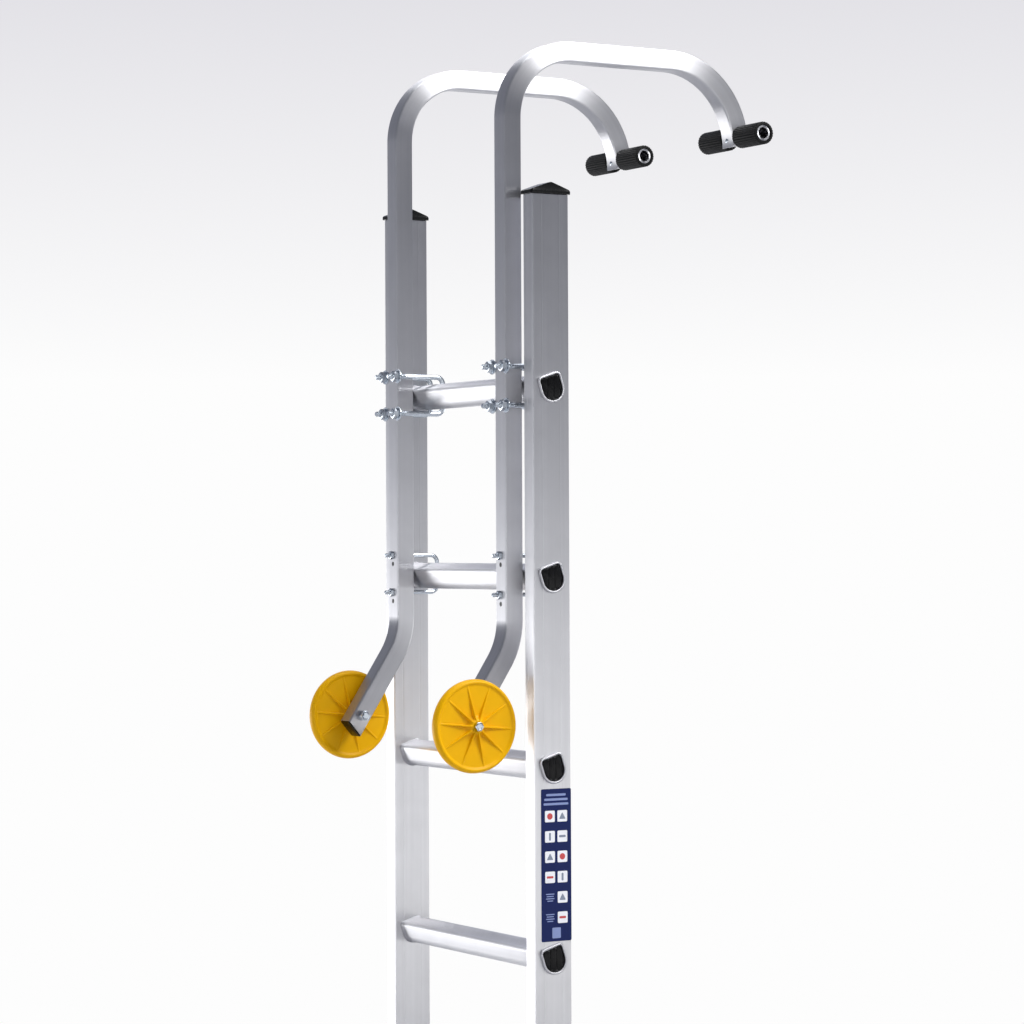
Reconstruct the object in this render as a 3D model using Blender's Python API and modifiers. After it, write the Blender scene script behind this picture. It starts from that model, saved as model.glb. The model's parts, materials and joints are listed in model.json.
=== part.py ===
"""Two-section aluminium extension ladder with D-shaped rungs and a bolt-on roof hook kit.

Metres, +Z up. X runs across the ladder, -Y is the climber's side and +Y the wall or roof side.
The origin lies on the ground, midway between the two feet of the base section.
The fly section stands in front of the base section and slides along it. Two bent square tubes are
clamped to the top rungs of the fly: each ends in a padded cross bar that lies over the roof ridge, and
carries a wheel that lets the upturned ladder be rolled up the roof.
"""

import math

import bmesh
import bpy
from mathutils import Matrix, Vector

# ---- driving dimensions -------------------------------------------------------------------------

LADDER_WIDTH = 0.410          # over the outer faces of the stiles
STILE_WIDTH = 0.024           # box section, across the ladder
STILE_DEPTH = 0.056           # box section, from the climber's side to the wall side
STILE_WALL = 0.002
STILE_CORNER = 0.002
RUNG_PITCH = 0.250
RUNG_COUNT = 7                # in each section
TOP_STUB = 0.255              # stile above the top rung
BOTTOM_STUB = 0.145           # stile below the bottom rung
SECTION_GAP = 0.004           # between the stiles of the two sections
REST_RUNGS = 5                # how many rungs the fly is raised above the base

RUNG_DEPTH = 0.031            # across the tread
RUNG_HEIGHT = 0.033           # from the tread to the bottom of the round
RUNG_TILT = math.radians(18.0)
RUNG_CORNER = 0.0045
RUNG_WALL = 0.0016
RUNG_STAND_OUT = 0.0015       # rung end proud of the outer face
RUNG_HOLE_CLEARANCE = 0.0003

CLEARANCE = 0.0003            # between pieces that touch

FOOT_SOLE = 0.018
FOOT_COLLAR = 0.024
FOOT_WALL = 0.0045

CAP_LIP = 0.0026
CAP_EDGE = 0.003
CAP_RISE = 0.0155
CAP_PLUG = 0.024

GUIDE_THICKNESS = 0.003
GUIDE_HEIGHT = 0.050
GUIDE_ABOVE_FOOT = 0.006      # between a lowered fly's guide and the foot's collar
GUIDE_STAND_OFF = 0.0065      # clears the rung ends that pass inside it
GUIDE_LIP = 0.013
GUIDE_RUNNING_GAP = 0.0015

LATCH_THICKNESS = 0.006
LATCH_FROM_STILE = 0.007
LATCH_ARM = 0.010
LATCH_LIP = 0.0045            # thin, to fit between a rung and the latch's pin
LATCH_TIP = 0.006
LATCH_TIP_DROP = 0.013
LATCH_PIN_RADIUS = 0.004
LATCH_BOSS_RADIUS = 0.011
LATCH_PIN_RISE = 0.066        # above the centre of the rung it rests on

HOOK_TUBE = 0.027             # square
HOOK_WALL = 0.002
HOOK_SPACING = 0.300          # between the two tubes' centres
HOOK_RISE = 0.4525            # level run's centre above the top rung's centre
HOOK_FIRST_RADIUS = 0.0935    # all bend radii are of the tube's centre line
HOOK_SECOND_RADIUS = 0.112
HOOK_REACH = 0.3645           # from the tube on the ladder to the end of the hook
HOOK_LEG_RADIUS = 0.100
HOOK_LEG_ANGLE = math.radians(33.0)
AXLE_BELOW_RUNG = 0.192       # wheel axle below the centre of the rung that the lower U-bolts hold
HOOK_LEG_OUT = 0.0695         # wheel axle in front of the tube on the ladder
HOOK_LEG_TAIL = 0.025         # tube beyond the axle
BEND_STEP = math.radians(9.0)

BAR_RADIUS = 0.011
BAR_LENGTH = 0.140
BAR_BORE = 0.0078
BAR_LIFT = 0.0135             # bar's centre above the end of the second bend
BAR_TAB = 0.0015              # thickness of the tube's inner wall where it runs on behind the bar
SLEEVE_RADIUS = 0.0155
SLEEVE_RECESS = 0.0015        # bar's end stands back by this inside its sleeve

WHEEL_RADIUS = 0.0615
WHEEL_RIM_WIDTH = 0.018
WHEEL_RIM_DEPTH = 0.008
WHEEL_WEB = 0.005
WHEEL_FLARE = 0.003           # how far the web's slopes run out from the hub and in from the rim
WHEEL_HUB_RADIUS = 0.011
WHEEL_HUB_WIDTH = 0.022
WHEEL_STEPS = 32
AXLE_RADIUS = 0.004
AXLE_HEAD_RADIUS = 0.0065
AXLE_HEAD_HEIGHT = 0.004
AXLE_TAIL = 0.002             # bolt beyond its nut
AXLE_RUNNING_GAP = 0.0003

UPPER_ROD = 0.0036            # rod radius of the upper U-bolts
LOWER_ROD = 0.0029
UBOLT_ROOM = 0.0162           # how much further apart the legs' centres are than a rung is high
UBOLT_OFFSET = 0.0026         # U-bolt's centre above the middle of the rung's height
UBOLT_SLACK = 0.006           # between the rung's back and the rod
UBOLT_BEND = 0.010            # radius of the two corners, on the rod's centre line
UPPER_TAIL = 0.017            # rod beyond the tube's face
LOWER_TAIL = 0.013
UPPER_NUT_FLATS = 0.013
UPPER_NUT_HEIGHT = 0.0080
LOWER_NUT_FLATS = 0.010
LOWER_NUT_HEIGHT = 0.005
WASHER_RADIUS = 0.0100
WASHER_THICKNESS = 0.0016
WASHER_SINK = 0.0002          # how far a nut is let into its washer
SPARE_HOLE_RADIUS = 0.0032
SPARE_HOLE_DROP = 0.012

# ---- sizes that follow from them ----------------------------------------------------------------

SECTION_LENGTH = BOTTOM_STUB + (RUNG_COUNT - 1) * RUNG_PITCH + TOP_STUB
STILE_CENTRE = (LADDER_WIDTH - STILE_WIDTH) / 2
BASE_Y = 0.0
FLY_Y = BASE_Y - STILE_DEPTH - SECTION_GAP
BASE_BOTTOM = FOOT_SOLE + CLEARANCE
REST_LIFT = REST_RUNGS * RUNG_PITCH
FLY_BOTTOM = BASE_BOTTOM + REST_LIFT
FLY_TOP = FLY_BOTTOM + SECTION_LENGTH
FLY_TOP_RUNG = FLY_TOP - TOP_STUB
GUIDE_INSET = FOOT_COLLAR + GUIDE_ABOVE_FOOT    # from the stile's end
# How far a rung reaches from its centre: a rounded tread corner in front and on top, the round behind.
TREAD_CORNER = Vector((RUNG_DEPTH / 2 - RUNG_CORNER, RUNG_HEIGHT / 2 - RUNG_CORNER))
RUNG_FRONT = TREAD_CORNER.dot((math.cos(RUNG_TILT), math.sin(RUNG_TILT))) + RUNG_CORNER
RUNG_TOP = TREAD_CORNER.dot((math.sin(RUNG_TILT), math.cos(RUNG_TILT))) + RUNG_CORNER
RUNG_BACK = RUNG_DEPTH / 2 + (RUNG_HEIGHT - RUNG_DEPTH) / 2 * math.sin(RUNG_TILT)
RUNG_BOTTOM = RUNG_DEPTH / 2 + (RUNG_HEIGHT - RUNG_DEPTH) / 2 * math.cos(RUNG_TILT)
UBOLT_SPREAD = RUNG_TOP + RUNG_BOTTOM + UBOLT_ROOM
UBOLT_RISE = (RUNG_TOP - RUNG_BOTTOM) / 2 + UBOLT_OFFSET
HOOK_LEG_DROP = RUNG_PITCH + AXLE_BELOW_RUNG
HOOK_Y = FLY_Y - RUNG_FRONT - CLEARANCE - HOOK_TUBE / 2

COLLECTION = "extension_ladder"
SIDES = {"right": 1, "left": -1}


# ---- scene and materials ------------------------------------------------------------------------


def clear_scene():
    for obj in list(bpy.data.objects):
        bpy.data.objects.remove(obj, do_unlink=True)


def new_collection(name):
    collection = bpy.data.collections.new(name)
    bpy.context.scene.collection.children.link(collection)
    return collection


def make_material(name, color, roughness, metallic=0.0):
    material = bpy.data.materials.new(name)
    material.use_nodes = True
    shader = material.node_tree.nodes["Principled BSDF"]
    shader.inputs["Base Color"].default_value = (*color, 1.0)
    shader.inputs["Roughness"].default_value = roughness
    shader.inputs["Metallic"].default_value = metallic
    return material


# ---- outlines -----------------------------------------------------------------------------------


def arc(centre, radius, start, end, steps):
    """Points on a circle from one angle to another, both ends included."""
    return [
        (centre[0] + radius * math.cos(a), centre[1] + radius * math.sin(a))
        for a in (start + (end - start) * i / steps for i in range(steps + 1))
    ]


def circle(radius, steps, centre=(0.0, 0.0)):
    return arc(centre, radius, 0.0, math.tau, steps)[:-1]


def rounded_rectangle(width, depth, corner, steps=2):
    """A rectangle about the origin, with rounded corners."""
    half_w, half_d = width / 2 - corner, depth / 2 - corner
    corners = [(half_w, half_d), (-half_w, half_d), (-half_w, -half_d), (half_w, -half_d)]
    points = []
    for quarter, centre in enumerate(corners):
        start = quarter * math.pi / 2
        points += arc(centre, corner, start, start + math.pi / 2, steps)
    return points


def rung_outline(grow=0.0):
    """The D section: a flat tread above a half round, turned so that the tread faces the climber.

    grow moves the whole outline outwards by that much.
    """
    half = RUNG_DEPTH / 2 + grow
    tread = RUNG_HEIGHT / 2 + grow
    round_centre = RUNG_DEPTH / 2 - RUNG_HEIGHT / 2
    corner = RUNG_CORNER + grow
    points = arc((half - corner, tread - corner), corner, 0.0, math.pi / 2, 2)
    points += arc((corner - half, tread - corner), corner, math.pi / 2, math.pi, 2)
    points += arc((0.0, round_centre), half, math.pi, math.tau, 10)
    c, s = math.cos(RUNG_TILT), math.sin(RUNG_TILT)
    return [(x * c - y * s, x * s + y * c) for x, y in points]


def offset_path(points, distance):
    """An open path moved sideways by a distance, with its corners mitred."""
    line = []
    for i, point in enumerate(points):
        here = Vector(point)
        before = (here - Vector(points[max(i - 1, 0)])).normalized()
        after = (Vector(points[min(i + 1, len(points) - 1)]) - here).normalized()
        along = (before + after).normalized()
        reach = distance / max(along.dot(after if after.length else before), 0.2)
        line.append((here.x - along.y * reach, here.y + along.x * reach))
    return line


def ribbon(points, width):
    """The closed outline of a strip of one width along a path."""
    return offset_path(points, width / 2) + offset_path(points, -width / 2)[::-1]


# ---- meshes -------------------------------------------------------------------------------------


def mesh_of_curve(curve, name):
    """The curve's filled mesh, with its caps welded to its sides."""
    guide = bpy.data.objects.new(name, curve)
    bpy.context.scene.collection.objects.link(guide)
    graph = bpy.context.evaluated_depsgraph_get()
    mesh = bpy.data.meshes.new_from_object(guide.evaluated_get(graph))
    bpy.data.objects.remove(guide, do_unlink=True)
    bm = bmesh.new()
    bm.from_mesh(mesh)
    bmesh.ops.remove_doubles(bm, verts=bm.verts, dist=1e-6)
    bmesh.ops.recalc_face_normals(bm, faces=bm.faces)
    bm.to_mesh(mesh)
    bm.free()
    mesh.name = name
    return mesh


def prism(name, outlines, length):
    """A flat shape, of an outer outline and any holes in it, given a length along local Z."""
    curve = bpy.data.curves.new(name, "CURVE")
    curve.dimensions = "2D"
    curve.fill_mode = "BOTH"
    curve.extrude = length / 2
    for outline in outlines:
        spline = curve.splines.new("POLY")
        spline.points.add(len(outline) - 1)
        for point, (x, y) in zip(spline.points, outline):
            point.co = (x, y, 0.0, 1.0)
        spline.use_cyclic_u = True
    return mesh_of_curve(curve, name)


def rod(name, points, radius, resolution=3):
    """A round bar bent along a list of points."""
    curve = bpy.data.curves.new(name, "CURVE")
    curve.dimensions = "3D"
    curve.bevel_depth = radius
    curve.bevel_resolution = resolution
    curve.use_fill_caps = True
    spline = curve.splines.new("POLY")
    spline.points.add(len(points) - 1)
    for point, co in zip(spline.points, points):
        point.co = (*co, 1.0)
    return mesh_of_curve(curve, name)


def joined(name, meshes):
    """Meshes that stay apart from each other, as one mesh."""
    bm = bmesh.new()
    for mesh in meshes:
        bm.from_mesh(mesh)
    mesh = bpy.data.meshes.new(name)
    bm.to_mesh(mesh)
    bm.free()
    return mesh


def moved(mesh, matrix):
    """A copy of a mesh under a rotation or a move."""
    copy = mesh.copy()
    copy.transform(matrix)
    return copy


def cylinder(name, radius, length, steps=20):
    """A solid cylinder about local Z."""
    bm = bmesh.new()
    bmesh.ops.create_cone(
        bm, cap_ends=True, segments=steps, radius1=radius, radius2=radius, depth=length
    )
    mesh = bpy.data.meshes.new(name)
    bm.to_mesh(mesh)
    bm.free()
    return mesh


def box(name, size, centre=(0.0, 0.0, 0.0)):
    bm = bmesh.new()
    bmesh.ops.create_cube(bm, size=1.0, matrix=Matrix.Translation(centre) @ Matrix.Diagonal((*size, 1)))
    mesh = bpy.data.meshes.new(name)
    bm.to_mesh(mesh)
    bm.free()
    return mesh


# Turns a shape drawn in local XY into one drawn in world YZ, with its length along X.
ACROSS = Matrix(((0, 0, 1, 0), (1, 0, 0, 0), (0, 1, 0, 0), (0, 0, 0, 1)))
# Turns a shape drawn in local XY into one drawn in world XZ, with its length along -Y.
FORWARD = Matrix(((1, 0, 0, 0), (0, 0, -1, 0), (0, 1, 0, 0), (0, 0, 0, 1)))


class Ladder:
    """Puts finished meshes in the scene as named pieces."""

    def __init__(self):
        self.pieces = new_collection(COLLECTION)
        self.cutters = new_collection("cutters")
        self.frames = {}

    def add_frame(self, name, location, parent=None):
        """An empty that a group of pieces moves with."""
        frame = bpy.data.objects.new(name, None)
        frame.empty_display_size = 0.05
        self.pieces.objects.link(frame)
        frame.location = location
        if parent:
            frame.parent = self.frames[parent]
            frame.location = Vector(location) - world_of(self.frames[parent])
        self.frames[name] = frame

    def add(self, name, mesh, material, location, frame=None):
        obj = bpy.data.objects.new(name, mesh)
        self.pieces.objects.link(obj)
        obj.location = location
        if frame:
            obj.parent = self.frames[frame]
            obj.location = Vector(location) - world_of(self.frames[frame])
        if not mesh.materials:
            mesh.materials.append(material)
        mesh.shade_smooth()
        mesh.set_sharp_from_angle(angle=math.radians(30))
        return obj

    def boolean(self, obj, meshes, operation="DIFFERENCE"):
        """Cuts meshes, given about the piece's own origin, out of the piece, or joins them to it."""
        mesh = joined(obj.name + "_tool", meshes)
        tool = bpy.data.objects.new(obj.name + "_tool", mesh)
        self.cutters.objects.link(tool)
        tool.parent = obj
        tool.hide_render = True
        tool.display_type = "WIRE"
        modifier = obj.modifiers.new(operation.lower(), "BOOLEAN")
        modifier.operation = operation
        modifier.solver = "EXACT"
        modifier.object = tool


def world_of(obj):
    """An unturned object's place in the world, from its own and its parents' locations."""
    place = obj.location.copy()
    while obj.parent:
        obj = obj.parent
        place += obj.location
    return place


# ---- ladder sections ----------------------------------------------------------------------------


def stile_inside():
    """Width and depth of the hollow inside a stile."""
    return STILE_WIDTH - 2 * STILE_WALL, STILE_DEPTH - 2 * STILE_WALL


def rung_heights(bottom):
    return [bottom + BOTTOM_STUB + RUNG_PITCH * i for i in range(RUNG_COUNT)]


def add_section(ladder, section, y, bottom, metal, frame=None):
    """Two box-section stiles and the rungs that pass through them."""
    skin = rounded_rectangle(STILE_WIDTH, STILE_DEPTH, STILE_CORNER)
    hollow = box("stile_hollow", (*stile_inside(), SECTION_LENGTH * 1.1))
    middle = bottom + SECTION_LENGTH / 2
    hole = prism("rung_hole", [rung_outline(RUNG_HOLE_CLEARANCE)], STILE_WIDTH * 2)
    hole.transform(ACROSS)
    for side, sign in SIDES.items():
        stile = ladder.add(
            f"{section}_stile_{side}",
            prism("stile", [skin], SECTION_LENGTH),
            metal,
            (sign * STILE_CENTRE, y, middle),
            frame,
        )
        ladder.boolean(stile, [hollow])
        places = [Matrix.Translation((0, 0, z - middle)) for z in rung_heights(bottom)]
        ladder.boolean(stile, [moved(hole, place) for place in places])
    rung = prism(
        "rung",
        [rung_outline(), rung_outline(-RUNG_WALL)],
        LADDER_WIDTH + 2 * RUNG_STAND_OUT,
    )
    rung.transform(ACROSS)
    for number, z in enumerate(rung_heights(bottom), 1):
        ladder.add(f"{section}_rung_{number}", rung, metal, (0, y, z), frame)


def add_caps(ladder, plastic):
    """Ridge-shaped plastic caps that plug the tops of the fly's stiles."""
    half = STILE_DEPTH / 2 + CAP_LIP
    gable = [(-half, 0), (half, 0), (half, CAP_EDGE), (0.0, CAP_RISE), (-half, CAP_EDGE)]
    roof = prism("cap", [gable], STILE_WIDTH + 2 * CAP_LIP)
    roof.transform(ACROSS)
    plug_width, plug_depth = (size - 2 * CLEARANCE for size in stile_inside())
    overlap = CAP_EDGE / 2
    for side, sign in SIDES.items():
        cap = ladder.add(
            f"fly_cap_{side}",
            roof,
            plastic,
            (sign * STILE_CENTRE, FLY_Y, FLY_TOP + CLEARANCE),
            "fly",
        )
        plug = box(
            "cap_plug",
            (plug_width, plug_depth, CAP_PLUG + overlap),
            (0, 0, (overlap - CAP_PLUG) / 2),
        )
        ladder.boolean(cap, [plug], "UNION")


def add_feet(ladder, rubber):
    """Rubber shoes over the bottom ends of the base's stiles."""
    width = STILE_WIDTH + 2 * (FOOT_WALL + CLEARANCE)
    depth = STILE_DEPTH + 2 * CLEARANCE + 2 * FOOT_WALL
    front_trim = max(0.0, FOOT_WALL + CLEARANCE - SECTION_GAP + CLEARANCE)
    height = FOOT_SOLE + FOOT_COLLAR
    for side, sign in SIDES.items():
        shoe = box(
            "foot",
            (width, depth - front_trim, height),
            (0, front_trim / 2, height / 2),
        )
        foot = ladder.add(f"foot_{side}", shoe, rubber, (sign * STILE_CENTRE, BASE_Y, 0))
        pocket = box(
            "foot_pocket",
            (STILE_WIDTH + 2 * CLEARANCE, STILE_DEPTH + 2 * CLEARANCE, height),
            (0, 0, FOOT_SOLE + height / 2),
        )
        ladder.boolean(foot, [pocket])


def guide_path(own_y, other_y):
    """Plan of a guide strip on the +X side: flat on its own stile, then out and round the other's.

    Its own stile's outer face is at X = 0 here, and the strip's middle is followed.
    """
    toward = 1 if other_y > own_y else -1
    on_stile = CLEARANCE + GUIDE_THICKNESS / 2
    clear_of = GUIDE_STAND_OFF + GUIDE_THICKNESS / 2
    joggle = own_y + toward * (STILE_DEPTH / 2 - GUIDE_STAND_OFF)
    beyond = other_y + toward * (STILE_DEPTH / 2 + GUIDE_RUNNING_GAP + GUIDE_THICKNESS / 2)
    return [
        (on_stile, own_y - toward * STILE_DEPTH / 2),
        (on_stile, joggle),
        (clear_of, joggle + toward * GUIDE_STAND_OFF),
        (clear_of, beyond),
        (-GUIDE_LIP, beyond),
    ]


def add_guides(ladder, steel):
    """Bent strips: one pair at the top of the base holds the fly, one pair on the fly holds the base."""
    base_z = BASE_BOTTOM + SECTION_LENGTH - GUIDE_INSET - GUIDE_HEIGHT / 2
    fly_z = FLY_BOTTOM + GUIDE_INSET + GUIDE_HEIGHT / 2
    plans = {
        "base": (guide_path(BASE_Y, FLY_Y), base_z, None),
        "fly": (guide_path(FLY_Y, BASE_Y), fly_z, "fly"),
    }
    for section, (path, z, frame) in plans.items():
        for side, sign in SIDES.items():
            plan = [(sign * x, y) for x, y in ribbon(path, GUIDE_THICKNESS)]
            strip = prism("guide", [plan], GUIDE_HEIGHT)
            location = (sign * LADDER_WIDTH / 2, 0, z)
            ladder.add(f"{section}_guide_{side}", strip, steel, location, frame)


def latch_outline():
    """Side view of a rung latch about its pin: an arm from the pin to a lip over the base's rung."""
    rung_y = BASE_Y - FLY_Y
    lip_low = RUNG_TOP + 2 * CLEARANCE - LATCH_PIN_RISE
    lip_high = lip_low + LATCH_LIP
    near = rung_y - RUNG_FRONT
    far = rung_y + RUNG_BACK + 2 * CLEARANCE
    outline = arc((0, 0), LATCH_BOSS_RADIUS, math.radians(45), math.radians(235), 8)
    outline += [
        (near, lip_low),
        (far, lip_low),
        (far, lip_low - LATCH_TIP_DROP),
        (far + LATCH_TIP, lip_low - LATCH_TIP_DROP),
        (far + LATCH_TIP, lip_high),
        (near + LATCH_ARM, lip_high),
    ]
    return outline


def add_latches(ladder, steel):
    """Gravity latches that hang on pins beside the fly's stiles and rest on a rung of the base."""
    inner_face = LADDER_WIDTH / 2 - STILE_WIDTH
    pin_z = rung_heights(FLY_BOTTOM)[0] + LATCH_PIN_RISE
    plate = prism("latch", [latch_outline()], LATCH_THICKNESS)
    plate.transform(ACROSS)
    reach = LATCH_FROM_STILE + LATCH_THICKNESS - CLEARANCE
    for side, sign in SIDES.items():
        x = sign * (inner_face - LATCH_FROM_STILE - LATCH_THICKNESS / 2)
        ladder.add_frame(f"latch_pivot_{side}", (x, FLY_Y, pin_z), "fly")
        latch = ladder.add(
            f"latch_{side}", plate.copy(), steel, (x, FLY_Y, pin_z), f"latch_pivot_{side}"
        )
        pin = cylinder("latch_pin", LATCH_PIN_RADIUS, reach, 16)
        pin.transform(ACROSS)
        pin.transform(Matrix.Translation((sign * (reach - LATCH_THICKNESS) / 2, 0, 0)))
        ladder.boolean(latch, [pin], "UNION")


# ---- roof hook kit ------------------------------------------------------------------------------


def bend(centre, radius, start, end):
    return arc(centre, radius, start, end, max(2, round(abs(end - start) / BEND_STEP)))


def leg_end():
    """The lower end of the tube's centre line, past the axle."""
    return (
        -HOOK_LEG_OUT - HOOK_LEG_TAIL * math.sin(HOOK_LEG_ANGLE),
        -HOOK_LEG_DROP - HOOK_LEG_TAIL * math.cos(HOOK_LEG_ANGLE),
    )


def hook_path(overrun=0.0):
    """Side view of the hook tube's centre line, in Y and Z from the tube beside the top rung.

    It runs from the open lower end, past the wheel axle, up the ladder and over to the cross bar.
    overrun carries both ends on by that much.
    """
    knee = HOOK_LEG_OUT / math.tan(HOOK_LEG_ANGLE) - HOOK_LEG_DROP
    tangent = HOOK_LEG_RADIUS * math.tan(HOOK_LEG_ANGLE / 2)
    low = leg_end()
    first = (
        low[0] - overrun * math.sin(HOOK_LEG_ANGLE),
        low[1] - overrun * math.cos(HOOK_LEG_ANGLE),
    )
    path = [first]
    knee_centre = (-HOOK_LEG_RADIUS, knee + tangent)
    path += bend(knee_centre, HOOK_LEG_RADIUS, -HOOK_LEG_ANGLE, 0.0)
    first_centre = (HOOK_FIRST_RADIUS, HOOK_RISE - HOOK_FIRST_RADIUS)
    path += bend(first_centre, HOOK_FIRST_RADIUS, math.pi, math.pi / 2)
    path += bend(second_bend_centre(), HOOK_SECOND_RADIUS, math.pi / 2, 0.0)
    path.append((HOOK_REACH, second_bend_centre()[1] - overrun - CLEARANCE))
    return path


def second_bend_centre():
    return (HOOK_REACH - HOOK_SECOND_RADIUS, HOOK_RISE - HOOK_SECOND_RADIUS)


def bar_place():
    """Centre of the cross bar in Y and Z: it bears on the tube's inner wall, near the tube's end."""
    wall = HOOK_REACH - HOOK_TUBE / 2 + HOOK_WALL
    return (wall + CLEARANCE + BAR_RADIUS, second_bend_centre()[1] + BAR_LIFT)


def clamp_heights(rung_z):
    """The heights of the two legs of a U-bolt that goes round a rung."""
    middle = rung_z + UBOLT_RISE
    return [middle + UBOLT_SPREAD / 2, middle - UBOLT_SPREAD / 2]


def hook_cuts():
    """What is cut from a hook tube, about the point beside the top rung."""
    bore = prism("hook_bore", [ribbon(hook_path(0.02), HOOK_TUBE - 2 * HOOK_WALL)], HOOK_TUBE - 2 * HOOK_WALL)
    bore.transform(ACROSS)
    axle = cylinder("axle_hole", AXLE_RADIUS + AXLE_RUNNING_GAP, HOOK_TUBE * 2)
    axle.transform(ACROSS)
    axle.transform(Matrix.Translation((0, -HOOK_LEG_OUT, -HOOK_LEG_DROP)))
    seat = cylinder("bar_seat", BAR_RADIUS + CLEARANCE, HOOK_TUBE * 2, 28)
    seat.transform(ACROSS)
    bar_y, bar_z = bar_place()
    seat.transform(Matrix.Translation((0, bar_y, bar_z)))
    tab_y = HOOK_REACH - HOOK_TUBE / 2 + BAR_TAB
    below = box(
        "bar_clearance",
        (HOOK_TUBE * 2, HOOK_TUBE * 2, HOOK_TUBE),
        (0, tab_y + HOOK_TUBE, bar_z - HOOK_TUBE / 2),
    )
    rods = []
    for leg in clamp_heights(-RUNG_PITCH):
        hole = cylinder("ubolt_hole", LOWER_ROD + CLEARANCE, HOOK_TUBE * 2, 16)
        rods.append(moved(hole, Matrix.Translation((0, 0, leg)) @ FORWARD))
        spare = cylinder("spare_hole", SPARE_HOLE_RADIUS, HOOK_TUBE, 12)
        place = Matrix.Translation((0, -HOOK_TUBE / 2, leg - SPARE_HOLE_DROP))
        rods.append(moved(spare, place @ FORWARD))
    return [[bore], [axle, *rods], [seat], [below]]


def turned(ladder, name, profile, steps, material, location, frame):
    """A round piece about X, from a half profile of (distance along X, radius) points."""
    mesh = bpy.data.meshes.new(name)
    closed = profile[0] == profile[-1]
    points = profile[:-1] if closed else profile
    edges = [(i, i + 1) for i in range(len(points) - 1)]
    if closed:
        edges.append((len(points) - 1, 0))
    mesh.from_pydata([(x, 0.0, r) for x, r in points], edges, [])
    obj = ladder.add(name, mesh, material, location, frame)
    screw = obj.modifiers.new("turn", "SCREW")
    screw.axis = "X"
    screw.steps = steps
    screw.render_steps = steps
    screw.use_merge_vertices = True
    screw.merge_threshold = 1e-5
    screw.use_smooth_shade = True
    return obj


def tube_profile(length, outer, inner):
    """The closed half profile of a plain tube, running the way that makes its faces point out."""
    half = length / 2
    return [(half, inner), (half, outer), (-half, outer), (-half, inner), (half, inner)]


def wheel_profile():
    """Half profile of a wheel with a rounded rim, a thin web and a hub that stands proud of both."""
    rim, web, hub = WHEEL_RIM_WIDTH / 2, WHEEL_WEB / 2, WHEEL_HUB_WIDTH / 2
    bore = AXLE_RADIUS + AXLE_RUNNING_GAP
    shoulder = WHEEL_RADIUS - 0.3 * WHEEL_RIM_DEPTH
    inside = WHEEL_RADIUS - WHEEL_RIM_DEPTH
    half = [
        (hub, bore),
        (hub, WHEEL_HUB_RADIUS),
        (web, WHEEL_HUB_RADIUS + WHEEL_FLARE),
        (web, inside - WHEEL_FLARE),
        (rim, inside),
        (rim, shoulder),
        (0.6 * rim, WHEEL_RADIUS - 0.05 * WHEEL_RIM_DEPTH),
    ]
    other = [(-x, r) for x, r in reversed(half)]
    return half + [(0.0, WHEEL_RADIUS)] + other + [half[0]]


def hex_outline(flats):
    corner = flats / math.sqrt(3)
    return arc((0, 0), corner, 0.0, math.tau, 6)[:-1]


def nut_mesh(name, flats, height, rod_radius):
    """A hexagon nut about local Z, standing on local Z = 0."""
    nut = prism(name, [hex_outline(flats), circle(rod_radius + CLEARANCE, 12)], height)
    nut.transform(Matrix.Translation((0, 0, height / 2)))
    return nut


def ubolt_mesh(name, rod_radius, tail):
    """A U-bolt about the rung's centre: square-shouldered, open to -Y, with its legs one above the other."""
    end_y = HOOK_Y - FLY_Y - HOOK_TUBE / 2 - tail
    back_y = RUNG_BACK + UBOLT_SLACK + rod_radius
    high, low = clamp_heights(0.0)
    quarter = math.pi / 2
    side = [(end_y, high)]
    side += arc((back_y - UBOLT_BEND, high - UBOLT_BEND), UBOLT_BEND, quarter, 0.0, 4)
    side += arc((back_y - UBOLT_BEND, low + UBOLT_BEND), UBOLT_BEND, 0.0, -quarter, 4)
    side.append((end_y, low))
    return rod(name, [(0.0, y, z) for y, z in side], rod_radius)


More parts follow.
